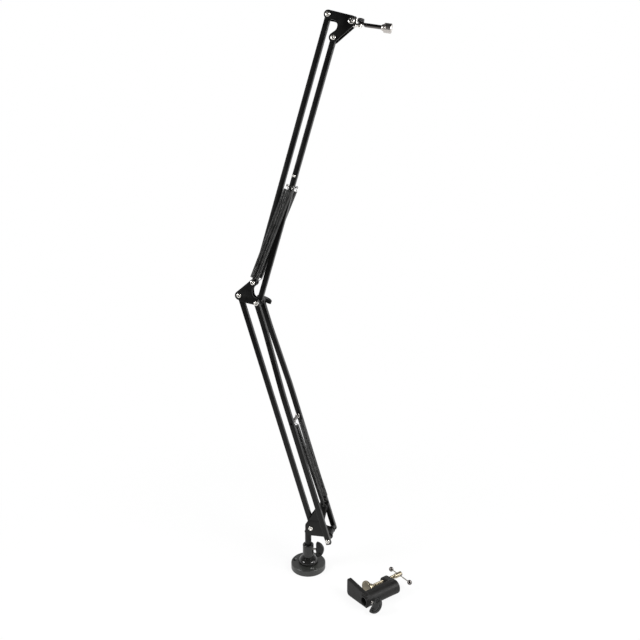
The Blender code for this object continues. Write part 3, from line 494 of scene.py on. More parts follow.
def bar(node, body, foot, lean, path):
    """Tube along points of y and height above a pivot, where lean is the bar's direction."""
    path = soften(path, 14, 6)
    ahead = np.gradient(path, axis=0)
    ahead /= np.linalg.norm(ahead, axis=1, keepdims=True)
    outer, inner = square(BAR / 2, CORNER_R), square(BAR / 2 - WALL, 0.4)
    lip = square(BAR / 2 - 0.25, CORNER_R)
    rows = [(lip, path[0], ahead[0]), (outer, path[0] + 0.25 * ahead[0], ahead[0])]
    rows += [(outer, spot, way) for spot, way in zip(path[1:-1], ahead[1:-1])]
    rows += [(outer, path[-1] - 0.25 * ahead[-1], ahead[-1]), (lip, path[-1], ahead[-1])]
    rows += [(inner, spot, way) for spot, way in zip(path[::-1], ahead[::-1])]
    grid = np.stack([
        np.column_stack([section[:, 0], spot[0] + section[:, 1] * way[1], spot[1] - section[:, 1] * way[0]])
        for section, spot, way in rows
    ])
    thing = build(node + "_tube", shell(placed(grid, (foot, np.cross(Y, lean), lean)), ring=True))
    dress(thing, "black_paint", body, node)


# %% The five bars
ARM = np.linalg.norm(ELBOW_FRONT - FRONT_FOOT)
BAR_END, FOOT_END = 5.0, 7.0
PAIR_TOP_Y, PAIR_FOOT_Y, JOGGLE_FROM, JOGGLE_TO = 15.4, 26.9, 166.0, 48.0
straight = [(0, -BAR_END), (0, ARM / 2), (0, ARM + BAR_END)]
bar("lower_rear_bar", "lower_rear", REAR_FOOT, UP_LOWER, straight)
bar("upper_rear_bar", "upper_rear", ELBOW_TOP, UP_UPPER, straight)
bar("upper_front_bar", "upper_front", ELBOW_FRONT, UP_UPPER, straight)
for side, word in SIDES:
    spread = [(side * PAIR_FOOT_Y, -FOOT_END), (side * PAIR_FOOT_Y, ARM - JOGGLE_FROM),
              (side * PAIR_TOP_Y, ARM - JOGGLE_TO), (side * PAIR_TOP_Y, ARM + BAR_END)]
    bar(f"lower_front_bar_{word}", "lower_pair", FRONT_FOOT, UP_LOWER, spread)

# %% [markdown]
# ## Elbow and head plates
# Pairs of painted steel plates hold the bars. They are stamped, so their outlines are arcs and
# tangents, with a hollow where the plate is cut away, and their edges are slightly rounded.

# %% Plates
PLATE_INNER = BAR / 2 + 0.3
elbow_plate = [
    around(ELBOW_REAR, 0, 0, 8.0), around(ELBOW_REAR, 10.9, -5.1, 7.5), around(ELBOW_FRONT, 0, 0, 6.5),
    around(ELBOW_FRONT, -2.2, 16.2, -9.0), around(ELBOW_FRONT, -4.0, 21.5, -7.6), around(ELBOW_TOP, 0, 0, 6.2),
]
head_plate = [
    around(HEAD_FRONT, 0, 0, 7.2), around(HEAD_ROD, 0.2, -4.8, 4.0), around(HEAD_ROD, 1.8, 4.6, 3.0),
    around(HEAD_REAR, 0, 0, 6.7), around(HEAD_REAR, 6.2, -17.5, -9.0),
]
for circles, word in ((elbow_plate, "elbow"), (head_plate, "head")):
    for side, end in SIDES:
        low, high = sorted((-side * PLATE_INNER, -side * (PLATE_INNER + SHEET)))
        plate = build(f"{word}_plate_{end}_stamped", slab(circles, low, high, ARM_PLANE))
        dress(plate, "black_paint", word, f"{word}_plate_{end}")

# %% [markdown]
# ## Screws
# The pivots are nickel-plated screws with domed heads and a cross recess, and hexagon nuts on the far
# side. The head is a height over a disc: a superellipse dome minus a soft cross that is deepest
# in the middle. That one formula gives the recess its real sloping walls, which a bump map would not.

# %% Screw heads, threads and nuts
SHANK, HEAD_R, HEAD_TALL, BIG_HEAD_R = 2.0, 4.3, 2.4, 5.2
NUT_R, NUT_TALL, TAIL, PITCH, THREAD_DEEP = 4.2, 3.0, 1.2, 0.7, 0.3


def smooth(value):
    """Smooth step from nothing at 0 to one at 1."""
    value = np.clip(value, 0, 1)
    return value * value * (3 - 2 * value)


def domed(radius, seat, place, spin):
    """Screw head: height·cos(a)^0.7 over radius·sin(a)^0.8, minus a cross that tapers towards its ends."""
    rise = np.radians(np.linspace(0, 90, 30))[:, None]
    turn = np.linspace(0, 2 * np.pi, 96, endpoint=False)
    r = radius * np.sin(rise) ** 0.8 + 0 * turn
    z = HEAD_TALL * np.cos(rise) ** 0.7 + 0 * turn
    x, y = r * np.cos(turn), r * np.sin(turn)
    along, aside = x * math.cos(spin) + y * math.sin(spin), y * math.cos(spin) - x * math.sin(spin)
    reach, half = 0.6 * radius, 0.15 * radius
    arms = [smooth((half - np.abs(a)) / 0.35 + 0.5) * smooth((reach - np.abs(b)) / 0.5 + 0.5)
            for a, b in ((along, aside), (aside, along))]
    z = z - 0.55 * HEAD_TALL * np.maximum(*arms) * (1 - 0.6 * r / reach * (r < reach))
    grid = np.stack([x, y, seat + z], axis=-1)
    return shell(placed(grid, place))


def threaded(pitch, deep, low, high):
    """Change of radius that winds a groove of this pitch and depth round a rod between two heights."""

    def shape(radius, turn, height):
        wave = 0.5 - 0.5 * np.cos(2 * np.pi * height / pitch - turn)
        return radius - deep * wave * smooth((height - low) / pitch) * smooth((high - height) / pitch)

    return shape


def thread_rod(low, high, place):
    """Threaded shank with chamfered ends, with eight rows to each turn of its thread."""
    side = straight_side(SHANK, low + 0.4, high - 0.4, int(8 * (high - low) / PITCH))
    rows = np.vstack([[(0, low), (SHANK - 0.4, low)], side, [(SHANK - 0.4, high), (0, high)]])
    return turned(rows, place, 32, threaded(PITCH, THREAD_DEEP, low, high))


def hexagon(radius, turn, height):
    """Radius of a nut's flats: NUT_R·cos 30° over the cosine of the turn from a flat's middle."""
    flat = NUT_R * math.cos(math.pi / 6) / np.cos(turn % (math.pi / 3) - math.pi / 6)
    return np.minimum(radius, flat)


def nut(low, high, place):
    """Hexagon nut with chamfered corners round a shank."""
    bore = SHANK - 0.1
    rows = [(bore, low), (NUT_R * 0.9, low), (NUT_R, low + 0.35), (NUT_R, high - 0.35), (NUT_R * 0.9, high),
            (bore, high)]
    return turned(rows, place, 72, hexagon, ring=True)


def screw(node, body, pivot, radius=HEAD_R, *, spin, nutted=True):
    """Screw across the arm, from its CAD part's extent, with its head on the near side."""
    low, high = box(node)
    place = across(pivot)
    seat, tip = -low[1] - HEAD_TALL, -high[1]
    shells = [domed(radius, seat, place, spin), thread_rod(tip, seat + 0.5, place)]
    if nutted:
        shells.append(nut(tip + TAIL, tip + TAIL + NUT_TALL, place))
    dress(build(node + "_plated", *shells), "bolt_steel", body, node, crease=40)


# %% Screws at the pivots
screw("rear_foot_bolt", "bracket", REAR_FOOT, spin=0.5)
screw("front_foot_bolt", "lower_pair", FRONT_FOOT, spin=0.2)
screw("elbow_rear_bolt", "elbow", ELBOW_REAR, spin=0.1)
screw("elbow_top_bolt", "elbow", ELBOW_TOP, spin=0.7)
screw("elbow_front_bolt", "elbow", ELBOW_FRONT, spin=1.1, nutted=False)
screw("head_rear_bolt", "head", HEAD_REAR, spin=0.4)
screw("head_front_bolt", "head", HEAD_FRONT, spin=0.9)
screw("head_rod_bolt", "head", HEAD_ROD, BIG_HEAD_R, spin=0.6)
HANG_UP, HANG_BOLT_UP, HANG_HEAD_R = 209.0, 227.0, 2.6
screw("hanger_bolt", "upper_front", ELBOW_FRONT + HANG_BOLT_UP * UP_UPPER, HANG_HEAD_R, spin=0.2)

# %% [markdown]
# ## Sleeves and the spring pin
# Short black tubes space the bars along the screws, and a pin across the lower pair carries the springs.
# They are turned rings with softened edges, read from their CAD parts' extents.

# %% Sleeves and pin


def sleeve(node, body, pivot, outer):
    """Round tube across the arm with the extent of its CAD part."""
    low, high = box(node)
    near, far, bore, lip = -low[1], -high[1], 2.3, 0.35
    rows = [(bore, far), (outer - lip, far), (outer, far + lip),
            (outer, near - lip), (outer - lip, near), (bore, near)]
    thing = build(node + "_turned", turned(rows, across(pivot), 56, ring=True))
    dress(thing, "black_paint", body, node)


SLEEVE_R, MID_SLEEVE_R = 4.4, 5.0
for side, word in SIDES:
    sleeve(f"rear_foot_sleeve_{word}", "bracket", REAR_FOOT, SLEEVE_R)
    sleeve(f"front_foot_sleeve_{word}", "lower_pair", FRONT_FOOT, SLEEVE_R)
    sleeve(f"elbow_sleeve_{word}", "elbow", ELBOW_FRONT, SLEEVE_R)
sleeve("front_foot_sleeve_mid", "lower_pair", FRONT_FOOT, MID_SLEEVE_R)
PIN_UP, PIN_R = 229.0, 3.0
PIN = FRONT_FOOT + PIN_UP * UP_LOWER
pin_reach = box("lower_spring_pin")[1][1]
pin_inner = pin_reach - BAR - 0.3
pin_profile = [(0, -pin_reach), (SHANK, -pin_reach), (SHANK, -pin_inner), (PIN_R, -pin_inner)]
pin_profile += [(radius, -height) for radius, height in reversed(pin_profile)]
pin = build("spring_pin_turned", turned(soften(pin_profile, 0.2), across(PIN), 48))
dress(pin, "dark_chrome", "lower_pair", "lower_spring_pin")
two_tone(pin, "black_paint", lambda centre: np.abs(centre[:, 1]) > pin_inner)

# %% [markdown]
# ## Thumbscrews
# Three moulded half-moon paddles turn the locks of the post, the elbow and the clamp. A paddle is a
# rounded half-moon outline drawn in to its middle, with a quarter-round edge and two finger
# dimples pressed into each face. Subdivision of a box would round it too, but not with this exact rim.

# %% Half-moon paddles
LOCK_R, LOCK_HALF, LOCK_CORNER, RIM_R = 14.8, 3.8, 2.4, 1.6
DIMPLE_R, DIMPLE_DEEP, SCREW_DEPTH = 3.8, 1.2, 9.0
PADDLE_OUT, STEM_R, ELBOW_STEM_R = 5.0, 3.4, 4.6


def paddle(flat, place):
    """Half-moon: copies of its outline shrink to its middle while the height follows a quarter-round rim."""
    inner, reach = flat + LOCK_CORNER, math.sqrt((LOCK_R - LOCK_CORNER) ** 2 - LOCK_CORNER ** 2)
    moon = [(inner, -reach, LOCK_CORNER), (flat, 0, LOCK_R), (inner, reach, LOCK_CORNER)]
    edge = outline(moon, step=4)
    middle = np.array([flat + 0.45 * LOCK_R, 0])
    bend = np.radians(np.linspace(0, 90, 8))
    depth = np.concatenate([RIM_R * (1 - np.cos(bend)), np.linspace(RIM_R + 0.4, LOCK_R * 0.5, 26)])
    rise = np.concatenate([RIM_R * np.sin(bend), np.full(26, RIM_R)]) - RIM_R + LOCK_HALF
    share = 1 - depth / depth[-1]
    rows = middle + (edge - middle) * share[:, None, None]
    height = rise[:, None] + 0 * rows[..., 0]
    for up in (-1, 1):
        away = np.hypot(rows[..., 0] - flat - LOCK_R * 0.42, rows[..., 1] - up * LOCK_R * 0.53)
        height = height - DIMPLE_DEEP * smooth(1.3 * (1 - away / DIMPLE_R))
    top = np.concatenate([rows, height[..., None]], axis=-1)
    bottom = top * (1, 1, -1)
    origin, out, up = place
    return shell(placed(np.concatenate([top[::-1], bottom]), (origin, out, np.cross(out, up))))


def shaft(name, body, node, place, tip, flat):
    """Bright threaded shaft of a thumbscrew, from its tip into the paddle."""
    origin, out, up = place
    thing = build(name, thread_rod(tip, flat + SCREW_DEPTH - 1, (origin, up, out)))
    dress(thing, "bolt_steel", body, node, crease=40)


def lock(name, body, node, place, flat, below=0.6, radius=STEM_R):
    """Paddle and the moulded hub below it, in one piece."""
    origin, out, up = place
    low, high = flat - below, flat + 2
    rows = [(0, low), (radius - 0.5, low), (radius, low + 0.5), (radius, high), (0, high)]
    thing = build(name, paddle(flat, place), turned(rows, (origin, up, out), 48))
    dress(thing, "black_plastic", body, node, crease=50)


# %% The three locks
post_place = (AT["post_lock_turn"], X, Z)
post_flat = SOCKET_R + PADDLE_OUT
lock("post_paddle", "post_lock", "post_lock_paddle", post_place, post_flat)
shaft("post_shaft", "post_lock", "post_lock_screw", post_place, BORE_R, post_flat)

ELBOW_LOCK_TURN = math.radians(-22)
elbow_place = (ELBOW_FRONT, Y, np.array([math.cos(ELBOW_LOCK_TURN), 0, math.sin(ELBOW_LOCK_TURN)]))
elbow_flat = box("elbow_paddle")[0][1] + PADDLE_OUT
lock("elbow_paddle_moulded", "elbow_lock", "elbow_paddle", elbow_place, elbow_flat, PADDLE_OUT, ELBOW_STEM_R)

TOWARDS_JAW = AXIS["clamp_turn"]
ALONG, ASIDE = -TOWARDS_JAW, np.cross(Z, -TOWARDS_JAW)
CLAMP_LOCK_TURN = math.radians(40)
CLAMP_SHAFT_TIP = -2.9
clamp_up = math.sin(CLAMP_LOCK_TURN) * ALONG + math.cos(CLAMP_LOCK_TURN) * Z
clamp_place = (AT["clamp_lock_turn"], -ASIDE, clamp_up)
lock("clamp_paddle", "clamp_lock", "clamp_lock_paddle", clamp_place, PADDLE_OUT)
shaft("clamp_shaft", "clamp_lock", "clamp_lock_screw", clamp_place, CLAMP_SHAFT_TIP, PADDLE_OUT)

# %% [markdown]
# ## Springs and their hangers
# The springs are close-wound wire with a loop at each end: four beside the upper bars and two inside the
# lower pair. Each is one wire through a loop, a short lead, a helix and the same again, and a bevelled
# curve keeps its round section true round every turn.

# %% Wire paths
WIRE_R, COIL_R, COIL_PITCH, COIL_STEPS = 0.5, 3.4, 1.12, 14
HOOK_R, PIN_HOOK_R = SHANK + 0.25 + WIRE_R, PIN_R + 0.25 + WIRE_R


def arc(centre, right, up, radius, first, sweep, count=20):
    """Points centre + radius·(cos·right + sin·up) through a sweep in degrees."""
    turn = np.radians(first + sweep * np.linspace(0, 1, count))[:, None]
    return centre + radius * (np.cos(turn) * right + np.sin(turn) * up)


def lead(start, start_way, end, end_way, reach=4.0, count=12):
    """Cubic between two points that leaves and arrives along the given directions."""
    s = np.linspace(0, 1, count)[1:-1, None]
    bend = (s ** 3 - 2 * s ** 2 + s) * reach * start_way + (s ** 3 - s ** 2) * reach * end_way
    return (2 * s ** 3 - 3 * s ** 2 + 1) * start + (3 * s ** 2 - 2 * s ** 3) * end + bend


def helix(start, end, side_axis):
    """Close-wound coil about a line: a point turns round it while it moves one pitch a turn."""
    axis = unit(end - start)
    right = unit(np.cross(axis, side_axis))
    back = np.cross(axis, right)
    turns = round(np.linalg.norm(end - start) / COIL_PITCH)
    turn = np.linspace(0, 2 * np.pi * turns, turns * COIL_STEPS + 1)[:, None]
    return start + (end - start) * turn / turn[-1] + COIL_R * (np.cos(turn) * right + np.sin(turn) * back)


def chain(*lines):
    """Lines joined end to end by leads that follow the directions in which they stop and start."""
    joined = [lines[0]]
    for line in lines[1:]:
        last = joined[-1]
        joined += [lead(last[-1], unit(last[-1] - last[-2]), line[0], unit(line[1] - line[0])), line]
    return np.concatenate(joined)


def spring(node, path, eye, highlight_reach):
    """Round wire with a bright eye."""
    curve = bpy.data.curves.new(node, "CURVE")
    curve.dimensions = "3D"
    curve.bevel_depth = WIRE_R * MM
    curve.bevel_resolution = 2
    curve.use_fill_caps = True
    line = curve.splines.new("POLY")
    line.points.add(len(path) - 1)
    line.points.foreach_set("co", np.column_stack([path * MM, np.ones(len(path))]).ravel())
    drawn = put_in_scene(node, curve)
    mesh = bpy.data.meshes.new_from_object(drawn.evaluated_get(bpy.context.evaluated_depsgraph_get()))
    bpy.data.objects.remove(drawn)
    thing = put_in_scene(node + "_wound", mesh)
    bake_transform(thing)
    dress(thing, "spring_steel", None, node, crease=60)
    # The eye's brighter nickel finish is a painted highlight on the loop of the dark spring wire.
    two_tone(thing, "bolt_steel", lambda centre: np.linalg.norm(centre - eye, axis=1) < highlight_reach)


# %% Upper springs
HANG = ELBOW_FRONT + HANG_UP * UP_UPPER
ACROSS_UPPER = np.cross(Y, UP_UPPER)
HANG_Y, HANG_SIDE, RING_R = 15.4, 2.2, 2.2
BODY_SIDE, BODY_TOP_Y, BODY_FOOT_Y, BELOW_RING, ABOVE_BOLT = 4.2, 15.0, 10.4, 6.5, 8.5
HANDS = ((-1, "a", 7.8), (1, "b", 9.6))
down = unit(ELBOW_TOP - HANG)
beside = np.cross(Y, -down)
for side, word in SIDES:
    for hand, letter, hook_y in HANDS:
        ring = HANG + ACROSS_UPPER * hand * (HANG_SIDE + RING_R) + Y * side * HANG_Y
        top = HANG + BELOW_RING * down + beside * hand * BODY_SIDE + Y * side * BODY_TOP_Y
        bottom = ELBOW_TOP - ABOVE_BOLT * down + beside * hand * BODY_SIDE + Y * side * BODY_FOOT_Y
        path = chain(
            arc(ring, ACROSS_UPPER * hand, UP_UPPER, RING_R, -60, 300),
            helix(top, bottom, Y),
            arc(ELBOW_TOP + Y * side * hook_y, beside * hand, -down, HOOK_R, 0, -290),
        )
        name = f"upper_spring_{word}_{letter}"
        spring(name, path, ring, RING_R + 1)

# %% Lower springs
LOWER_SPRING_Y, BELOW_PIN, ABOVE_LUG = 13.8, 9.0, 9.5
FORWARD_TOP, FORWARD_FOOT = 3.0, 1.5
down = unit(LUG_HOLE - PIN)
beside = np.cross(Y, down)
LUG_Y = CHEEK_OUTER - SHEET / 2 - LUG_LEAN * (LUG_HOLE[2] - CREASE_Z)
for side, word in SIDES:
    out = Y * side
    middle = out * LOWER_SPRING_Y
    top = PIN + BELOW_PIN * down - FORWARD_TOP * beside + middle
    bottom = LUG_HOLE - ABOVE_LUG * down - FORWARD_FOOT * beside + middle
    path = chain(
        arc(PIN + middle, beside, -down, PIN_HOOK_R, -50, 300),
        helix(top, bottom, Y),
        arc(LUG_HOLE - 2.2 * down + out * (LUG_Y + 0.2), out, down, 2.6, 20, 150),
    )
    name = f"lower_spring_{word}"
    spring(name, path, PIN + middle, PIN_HOOK_R + 1)

# %% Spring hangers
bar_place = (ELBOW_FRONT, ACROSS_UPPER, UP_UPPER)
leg_place = (ELBOW_FRONT, ACROSS_UPPER, -Y)
HANG_SHEET, LEG_HALF, FOOT_HALF, FOOT_Y, EYE_HOLE_R = 1.5, 3.5, 5.6, 19.0, 1.1
foot_low, foot_high, leg_top = HANG_UP - HANG_SHEET / 2, HANG_UP + HANG_SHEET / 2, HANG_BOLT_UP + LEG_HALF
for side, word in SIDES:
    leg_y = sorted((-side * PLATE_INNER, -side * (PLATE_INNER + HANG_SHEET)))
    leg = slab(corners(-LEG_HALF, LEG_HALF, foot_low, leg_top, 2.6), *leg_y, leg_place, 0.3)
    foot_y = sorted((side * PLATE_INNER, side * FOOT_Y))
    foot = slab(corners(-FOOT_HALF, FOOT_HALF, *foot_y, 1.5), foot_low, foot_high, bar_place, 0.3)
    thing = build(f"spring_hanger_{word}_folded", leg, foot)
    spots = [HANG + ACROSS_UPPER * hand * HANG_SIDE + Y * side * HANG_Y for hand in (-1, 1)]
    eyes = [turned(plain_rod(EYE_HOLE_R, -3, 3), (spot, ACROSS_UPPER, UP_UPPER), 24) for spot in spots]
    dress(drill(thing, *eyes), "black_paint", "upper_front", f"spring_hanger_{word}")

# %% [markdown]
# ## Swivel, knob and rod
# Between the head plates a plated block tilts. A black ribbed knob clamps the rod's flat eye on its tongue.
# The rod is forged: its section is a superellipse whose width, thickness and squareness change from a
# flat eye to a round bar, so the eye grows out of the rod with no seam. A chromed adapter ends it.

# %% Swivel block and knob
PAN, OUT, RISE = AT["mic_pan"], unit(np.cross(Y, AXIS["mic_pan"])), AXIS["mic_pan"]
PAN_U = np.linalg.norm(PAN - HEAD_ROD)
block = [(0, 0, 7.5), (7.0, -6.0, 1.0), (4.0, 4.0, 4.0)]
tongue = [(PAN_U, 0, 4.0), (4.0, 3.0, 1), (4.0, -3.0, 1)]
block_shell = slab(block, -4, 4, (HEAD_ROD, OUT, -Y), 0.7)
tongue_shell = slab(tongue, -5.0, -2.2, (HEAD_ROD, OUT, RISE), 0.4)
dress(build("swivel_block_plated", block_shell, tongue_shell), "bolt_steel", "swivel", "swivel_block")
PAN_PLACE = (PAN, OUT, RISE)
stud = soften([(0, -7.1), (2.8, -7.1), (2.8, -5.3), (1.5, -5.3), (1.5, 4.1), (0, 4.1)], 0.4)
dress(build("swivel_stud_plated", turned(stud, PAN_PLACE, 40)), "bolt_steel", "swivel", "swivel_stud")
KNOB_R, RIBS, RIB_DEEP = 5.4, 18, 0.4


def ribbed(radius, turn, height):
    """Knob radius minus a cosine wave of ribs that fades towards the top edge."""
    ribs = 0.5 + 0.5 * np.cos(RIBS * turn)
    return radius - RIB_DEEP * ribs * (radius > KNOB_R - 0.4) * smooth((6.2 - height) / 0.8)


knob = np.vstack([[(0, 1.4), (4.7, 1.4), (5.2, 1.6)], straight_side(KNOB_R, 2.0, 5.5, 12),
                  soften([(KNOB_R, 5.6), (5.1, 6.3), (3.9, 6.55), (0, 6.6)], 0.5)])
dress(build("swivel_knob_ribbed", turned(knob, PAN_PLACE, 144, ribbed)), "black_plastic",
      "swivel_lock", "swivel_knob", crease=50)

# %% Rod, collar and adapter
ROD_R, ROD_W, ROD_END, EYE_R, EYE_HALF = 3.1, -2.0, 60.0, 4.0, 1.4
ROD_PLACE = (HEAD_ROD + ROD_W * RISE, Y, OUT)
EYE_W = -0.5 - ROD_W


def forged(u):
    """Half width, half thickness, lift and squareness of the rod's section at a distance along it."""
    eye = np.sqrt(np.clip(EYE_R ** 2 - np.minimum(u - PAN_U, 0) ** 2, 0, None))
    grown = smooth((u - PAN_U - 3.5) / 5)
    width = np.where(u < PAN_U, eye, EYE_R - (EYE_R - ROD_R) * smooth((u - PAN_U) / 6))
    return width, EYE_HALF + (ROD_R - EYE_HALF) * grown, EYE_W * (1 - grown), 5 - 3 * grown


eye_u = PAN_U - EYE_R * np.cos(np.radians(np.linspace(0, 90, 12)))
rod_u = np.concatenate([eye_u, np.linspace(PAN_U + 0.5, 24, 24), [40, ROD_END - 0.5]])
width, thick, lift, square_n = (part[:, None] for part in forged(rod_u))
turn = np.linspace(0, 2 * np.pi, 48, endpoint=False)
section_x, section_y = (np.sign(wave) * np.abs(wave) ** (2 / square_n) for wave in (np.cos(turn), np.sin(turn)))
rod_grid = np.stack([width * section_x, lift + thick * section_y, rod_u[:, None] + 0 * turn], axis=-1)
tip = rod_grid[-1:] * (0.85, 0.85, 1) + (0, 0, 0.5)
rod = build("rod_forged", shell(placed(np.concatenate([rod_grid, tip]), ROD_PLACE)))
dress(rod, "dark_chrome", "mic_arm", "mic_rod", crease=50)
collar = [(3.3, 48.5), (4.0, 48.5), (4.3, 48.8), (5.1, 51.0), (5.1, 51.9), (4.8, 52.2), (3.3, 52.2)]
dress(build("rod_collar_turned", turned(collar, ROD_PLACE, 56, ring=True)), "bright_chrome", "mic_arm",
      "rod_collar")
ADAPTER_R, ADAPTER_FROM, ADAPTER_TO = 7.3, 52.5, 64.5
adapter = [(0, 53.0), (3.6, 53.0), (3.6, ADAPTER_FROM), (6.7, ADAPTER_FROM), (ADAPTER_R, 53.1), (ADAPTER_R, 54.3),
           (7.05, 54.5), (7.05, 54.9), (ADAPTER_R, 55.1), (ADAPTER_R, 63.6), (6.6, ADAPTER_TO), (5.4, ADAPTER_TO),
           (5.2, 64.2), (4.9, 64.2), (4.7, ADAPTER_TO), (0, ADAPTER_TO)]
dress(build("adapter_turned", turned(soften(adapter, 0.15, 3), ROD_PLACE, 96)), "bright_chrome", "mic_arm",
      "thread_adapter")

# %% [markdown]
# ## Clamp
# The clamp is one iron casting: a wide jaw plate, a half-round spine with the post's bore, and a lug for
# the screw. A casting has no sharp inner corners. Its plain shells are fused by a voxel remesh and
# smoothed, which leaves the soft fillets of a sand mould, and only then are its bores drilled sharp.

# %% Casting
LOCK_X = 8.0
CLAMP_AT = AT["clamp_lock_turn"] - LOCK_X * ALONG
END_ON = (CLAMP_AT, ASIDE, ALONG)
JAW_REACH, JAW_HALF, JAW_THICK = 60.0, 15.5, 8.0
SPINE_DEEP, SPINE_HALF, SPINE_LONG = 19.0, 11.75, 68.0
BORE_Y, SCREW_Y, LUG_FROM, LUG_TO = 10.0, 33.5, 60.0, 72.0
ROUND_R, VOXEL = 11.0, 0.55
CLAMP_BORE_R, CLAMP_MOUTH_R, CLAMP_BORE_DEEP, LOCK_WAY_R, SCREW_WAY_R = 6.6, 7.2, 42, 2.3, 3.8


def end_on(y):
    """Frame along the clamp at this distance from its round side."""
    return CLAMP_AT + y * ASIDE, ASIDE, ALONG


jaw = [(JAW_REACH - 6, 6 - JAW_HALF, 6), (JAW_REACH - 3, JAW_HALF - 3, 3),
       (8, SPINE_HALF - 3, 3), (8, 3 - SPINE_HALF, 3)]
spine = [(SPINE_DEEP - 2, 2 - SPINE_HALF, 2), (SPINE_DEEP - 2, SPINE_HALF - 2, 2),
         (ROUND_R, SPINE_HALF - ROUND_R, ROUND_R), (ROUND_R, ROUND_R - SPINE_HALF, ROUND_R)]
lug = [(SCREW_Y - 1.5, 0, 8.5), (ROUND_R, 0.75, ROUND_R + 0.3), (ROUND_R, -0.75, ROUND_R + 0.3)]
boss = corners(BORE_Y - 8.5, BORE_Y + 8.5, -9, 9, 3)
casting = build("clamp_cast", slab(jaw, 0, JAW_THICK, END_ON, 1.0), slab(spine, 0.5, SPINE_LONG, END_ON, 1.0),
                slab(lug, LUG_FROM, LUG_TO, END_ON, 1.0), slab(boss, -2.5, 3, END_ON, 0.6))
fuse = casting.modifiers.new("fuse", "REMESH")
fuse.mode = "VOXEL"
fuse.voxel_size = VOXEL * MM
ease = casting.modifiers.new("ease", "SMOOTH")
ease.factor = 0.5
ease.iterations = 10
settle(casting)
bore = [(0, -5), (CLAMP_MOUTH_R, -5), (CLAMP_MOUTH_R, -2.0), (CLAMP_BORE_R, -1.5),
        (CLAMP_BORE_R, CLAMP_BORE_DEEP), (0, CLAMP_BORE_DEEP)]
drill(casting, turned(bore, end_on(BORE_Y), 72),
      turned(plain_rod(SCREW_WAY_R, LUG_FROM - 2, LUG_TO + 2), end_on(SCREW_Y), 48),
      turned(plain_rod(LOCK_WAY_R, -5, BORE_Y), (AT["clamp_lock_turn"], ALONG, ASIDE), 32))
dress(casting, "cast_black", "base", "clamp_body", crease=48)

# %% [markdown]
# ## Clamp screw, pad and T-bar
# The screw is yellowish zinc, with a rolled thread that matches the travel in the joints: 1.5 mm a turn.
# Its pad is a turned disc on a hub, and a thin bar with two balls slides through its head.

# %% Screw and pad
SCREW_R, SCREW_PITCH, SCREW_DEEP = 3.5, 1.5, 0.7
SCREW_FROM, HEAD_FROM, SCREW_TO, HEAD_WIDE = 31.5, 90.0, 105.0, 4.3
thread_rows = int(8 * (HEAD_FROM - SCREW_FROM) / SCREW_PITCH)
threads = straight_side(SCREW_R, SCREW_FROM + 0.6, HEAD_FROM - 1, thread_rows)
head = soften([(SCREW_R, HEAD_FROM - 0.5), (HEAD_WIDE, HEAD_FROM), (HEAD_WIDE, SCREW_TO - 1),
               (3.2, SCREW_TO), (0, SCREW_TO)])
screw_rows = np.vstack([[(0, SCREW_FROM), (SCREW_R - 0.6, SCREW_FROM)], threads, head])
wound = threaded(SCREW_PITCH, SCREW_DEEP, SCREW_FROM, HEAD_FROM - 1)
clamp_screw = build("clamp_screw_zinc", turned(screw_rows, end_on(SCREW_Y), 48, wound))
T_BAR_X, T_BAR_Y, T_BAR_R, T_BAR_HALF, T_HOLE_R, BALL_R = 98.5, 29.0, 1.25, 24.5, 1.5, 4.3
BAR_AT = CLAMP_AT + T_BAR_X * ALONG + T_BAR_Y * ASIDE
T_PLACE = (BAR_AT, ALONG, ASIDE)
drill(clamp_screw, turned(plain_rod(T_HOLE_R, -20, 20), T_PLACE, 32))
dress(clamp_screw, "zinc_plate", "clamp_spindle", "clamp_screw", crease=40)
two_tone(clamp_screw, "dark_chrome", lambda centre: (centre - CLAMP_AT) @ ALONG > T_BAR_X + 2)
PAD_X, PAD_R, PAD_THICK, HUB_R, HUB_TALL, HUB_BORE_R = 23.5, 13.9, 4.5, 6.0, 12.5, 3.8
pad = np.array([
    (0, 0.5), (PAD_R - 3, 0.4), (PAD_R - 2.4, 0), (PAD_R - 0.5, 0), (PAD_R, 0.6), (PAD_R, 3.3),
    (PAD_R - 0.9, 4.1), (HUB_R + 1.5, PAD_THICK), (HUB_R, 5.5), (HUB_R, HUB_TALL - 0.8), (HUB_R - 0.8, HUB_TALL),
    (HUB_BORE_R, HUB_TALL), (HUB_BORE_R, SCREW_FROM - 0.3 - PAD_X), (0, SCREW_FROM - 0.3 - PAD_X),
]) + (0, PAD_X)
dress(build("clamp_pad_zinc", turned(soften(pad, 0.3), end_on(SCREW_Y), 96)), "zinc_plate", "clamp_foot",
      "clamp_pad")

# %% T-bar and balls
t_bar = plain_rod(T_BAR_R, 0.3 - T_BAR_HALF, T_BAR_HALF - 0.3)
dress(build("t_bar_plated", turned(t_bar, T_PLACE, 32)), "bolt_steel", "clamp_handle", "clamp_t_bar")
ball_turn = np.radians(np.linspace(-72, 90, 28))
ball = np.vstack([[(0, 0.5), (T_BAR_R, 0.5)], [(T_BAR_R, -4.1)],
                  np.column_stack([BALL_R * np.cos(ball_turn), BALL_R * np.sin(ball_turn)])])
for end, word in ((-1, "low"), (1, "high")):
    place = (BAR_AT + end * T_BAR_HALF * ASIDE, ALONG, end * ASIDE)
    dress(build(f"ball_{word}", turned(ball, place, 56)), "dark_chrome", "clamp_handle", f"clamp_ball_{word}")

# %% [markdown]
# ## Studio
# The photograph is a cut-out on white. A pale floor fades into a white surround, two soft boxes stand
# high in front and give the flared socket its pair of highlights, and a long strip on the right draws the
# light edges of the bars. Mirrored rays see a surround that darkens upwards, so that chrome has
# something dark to show, while the camera sees plain white. The camera's place comes from the
# photograph's flange and parallel bars.

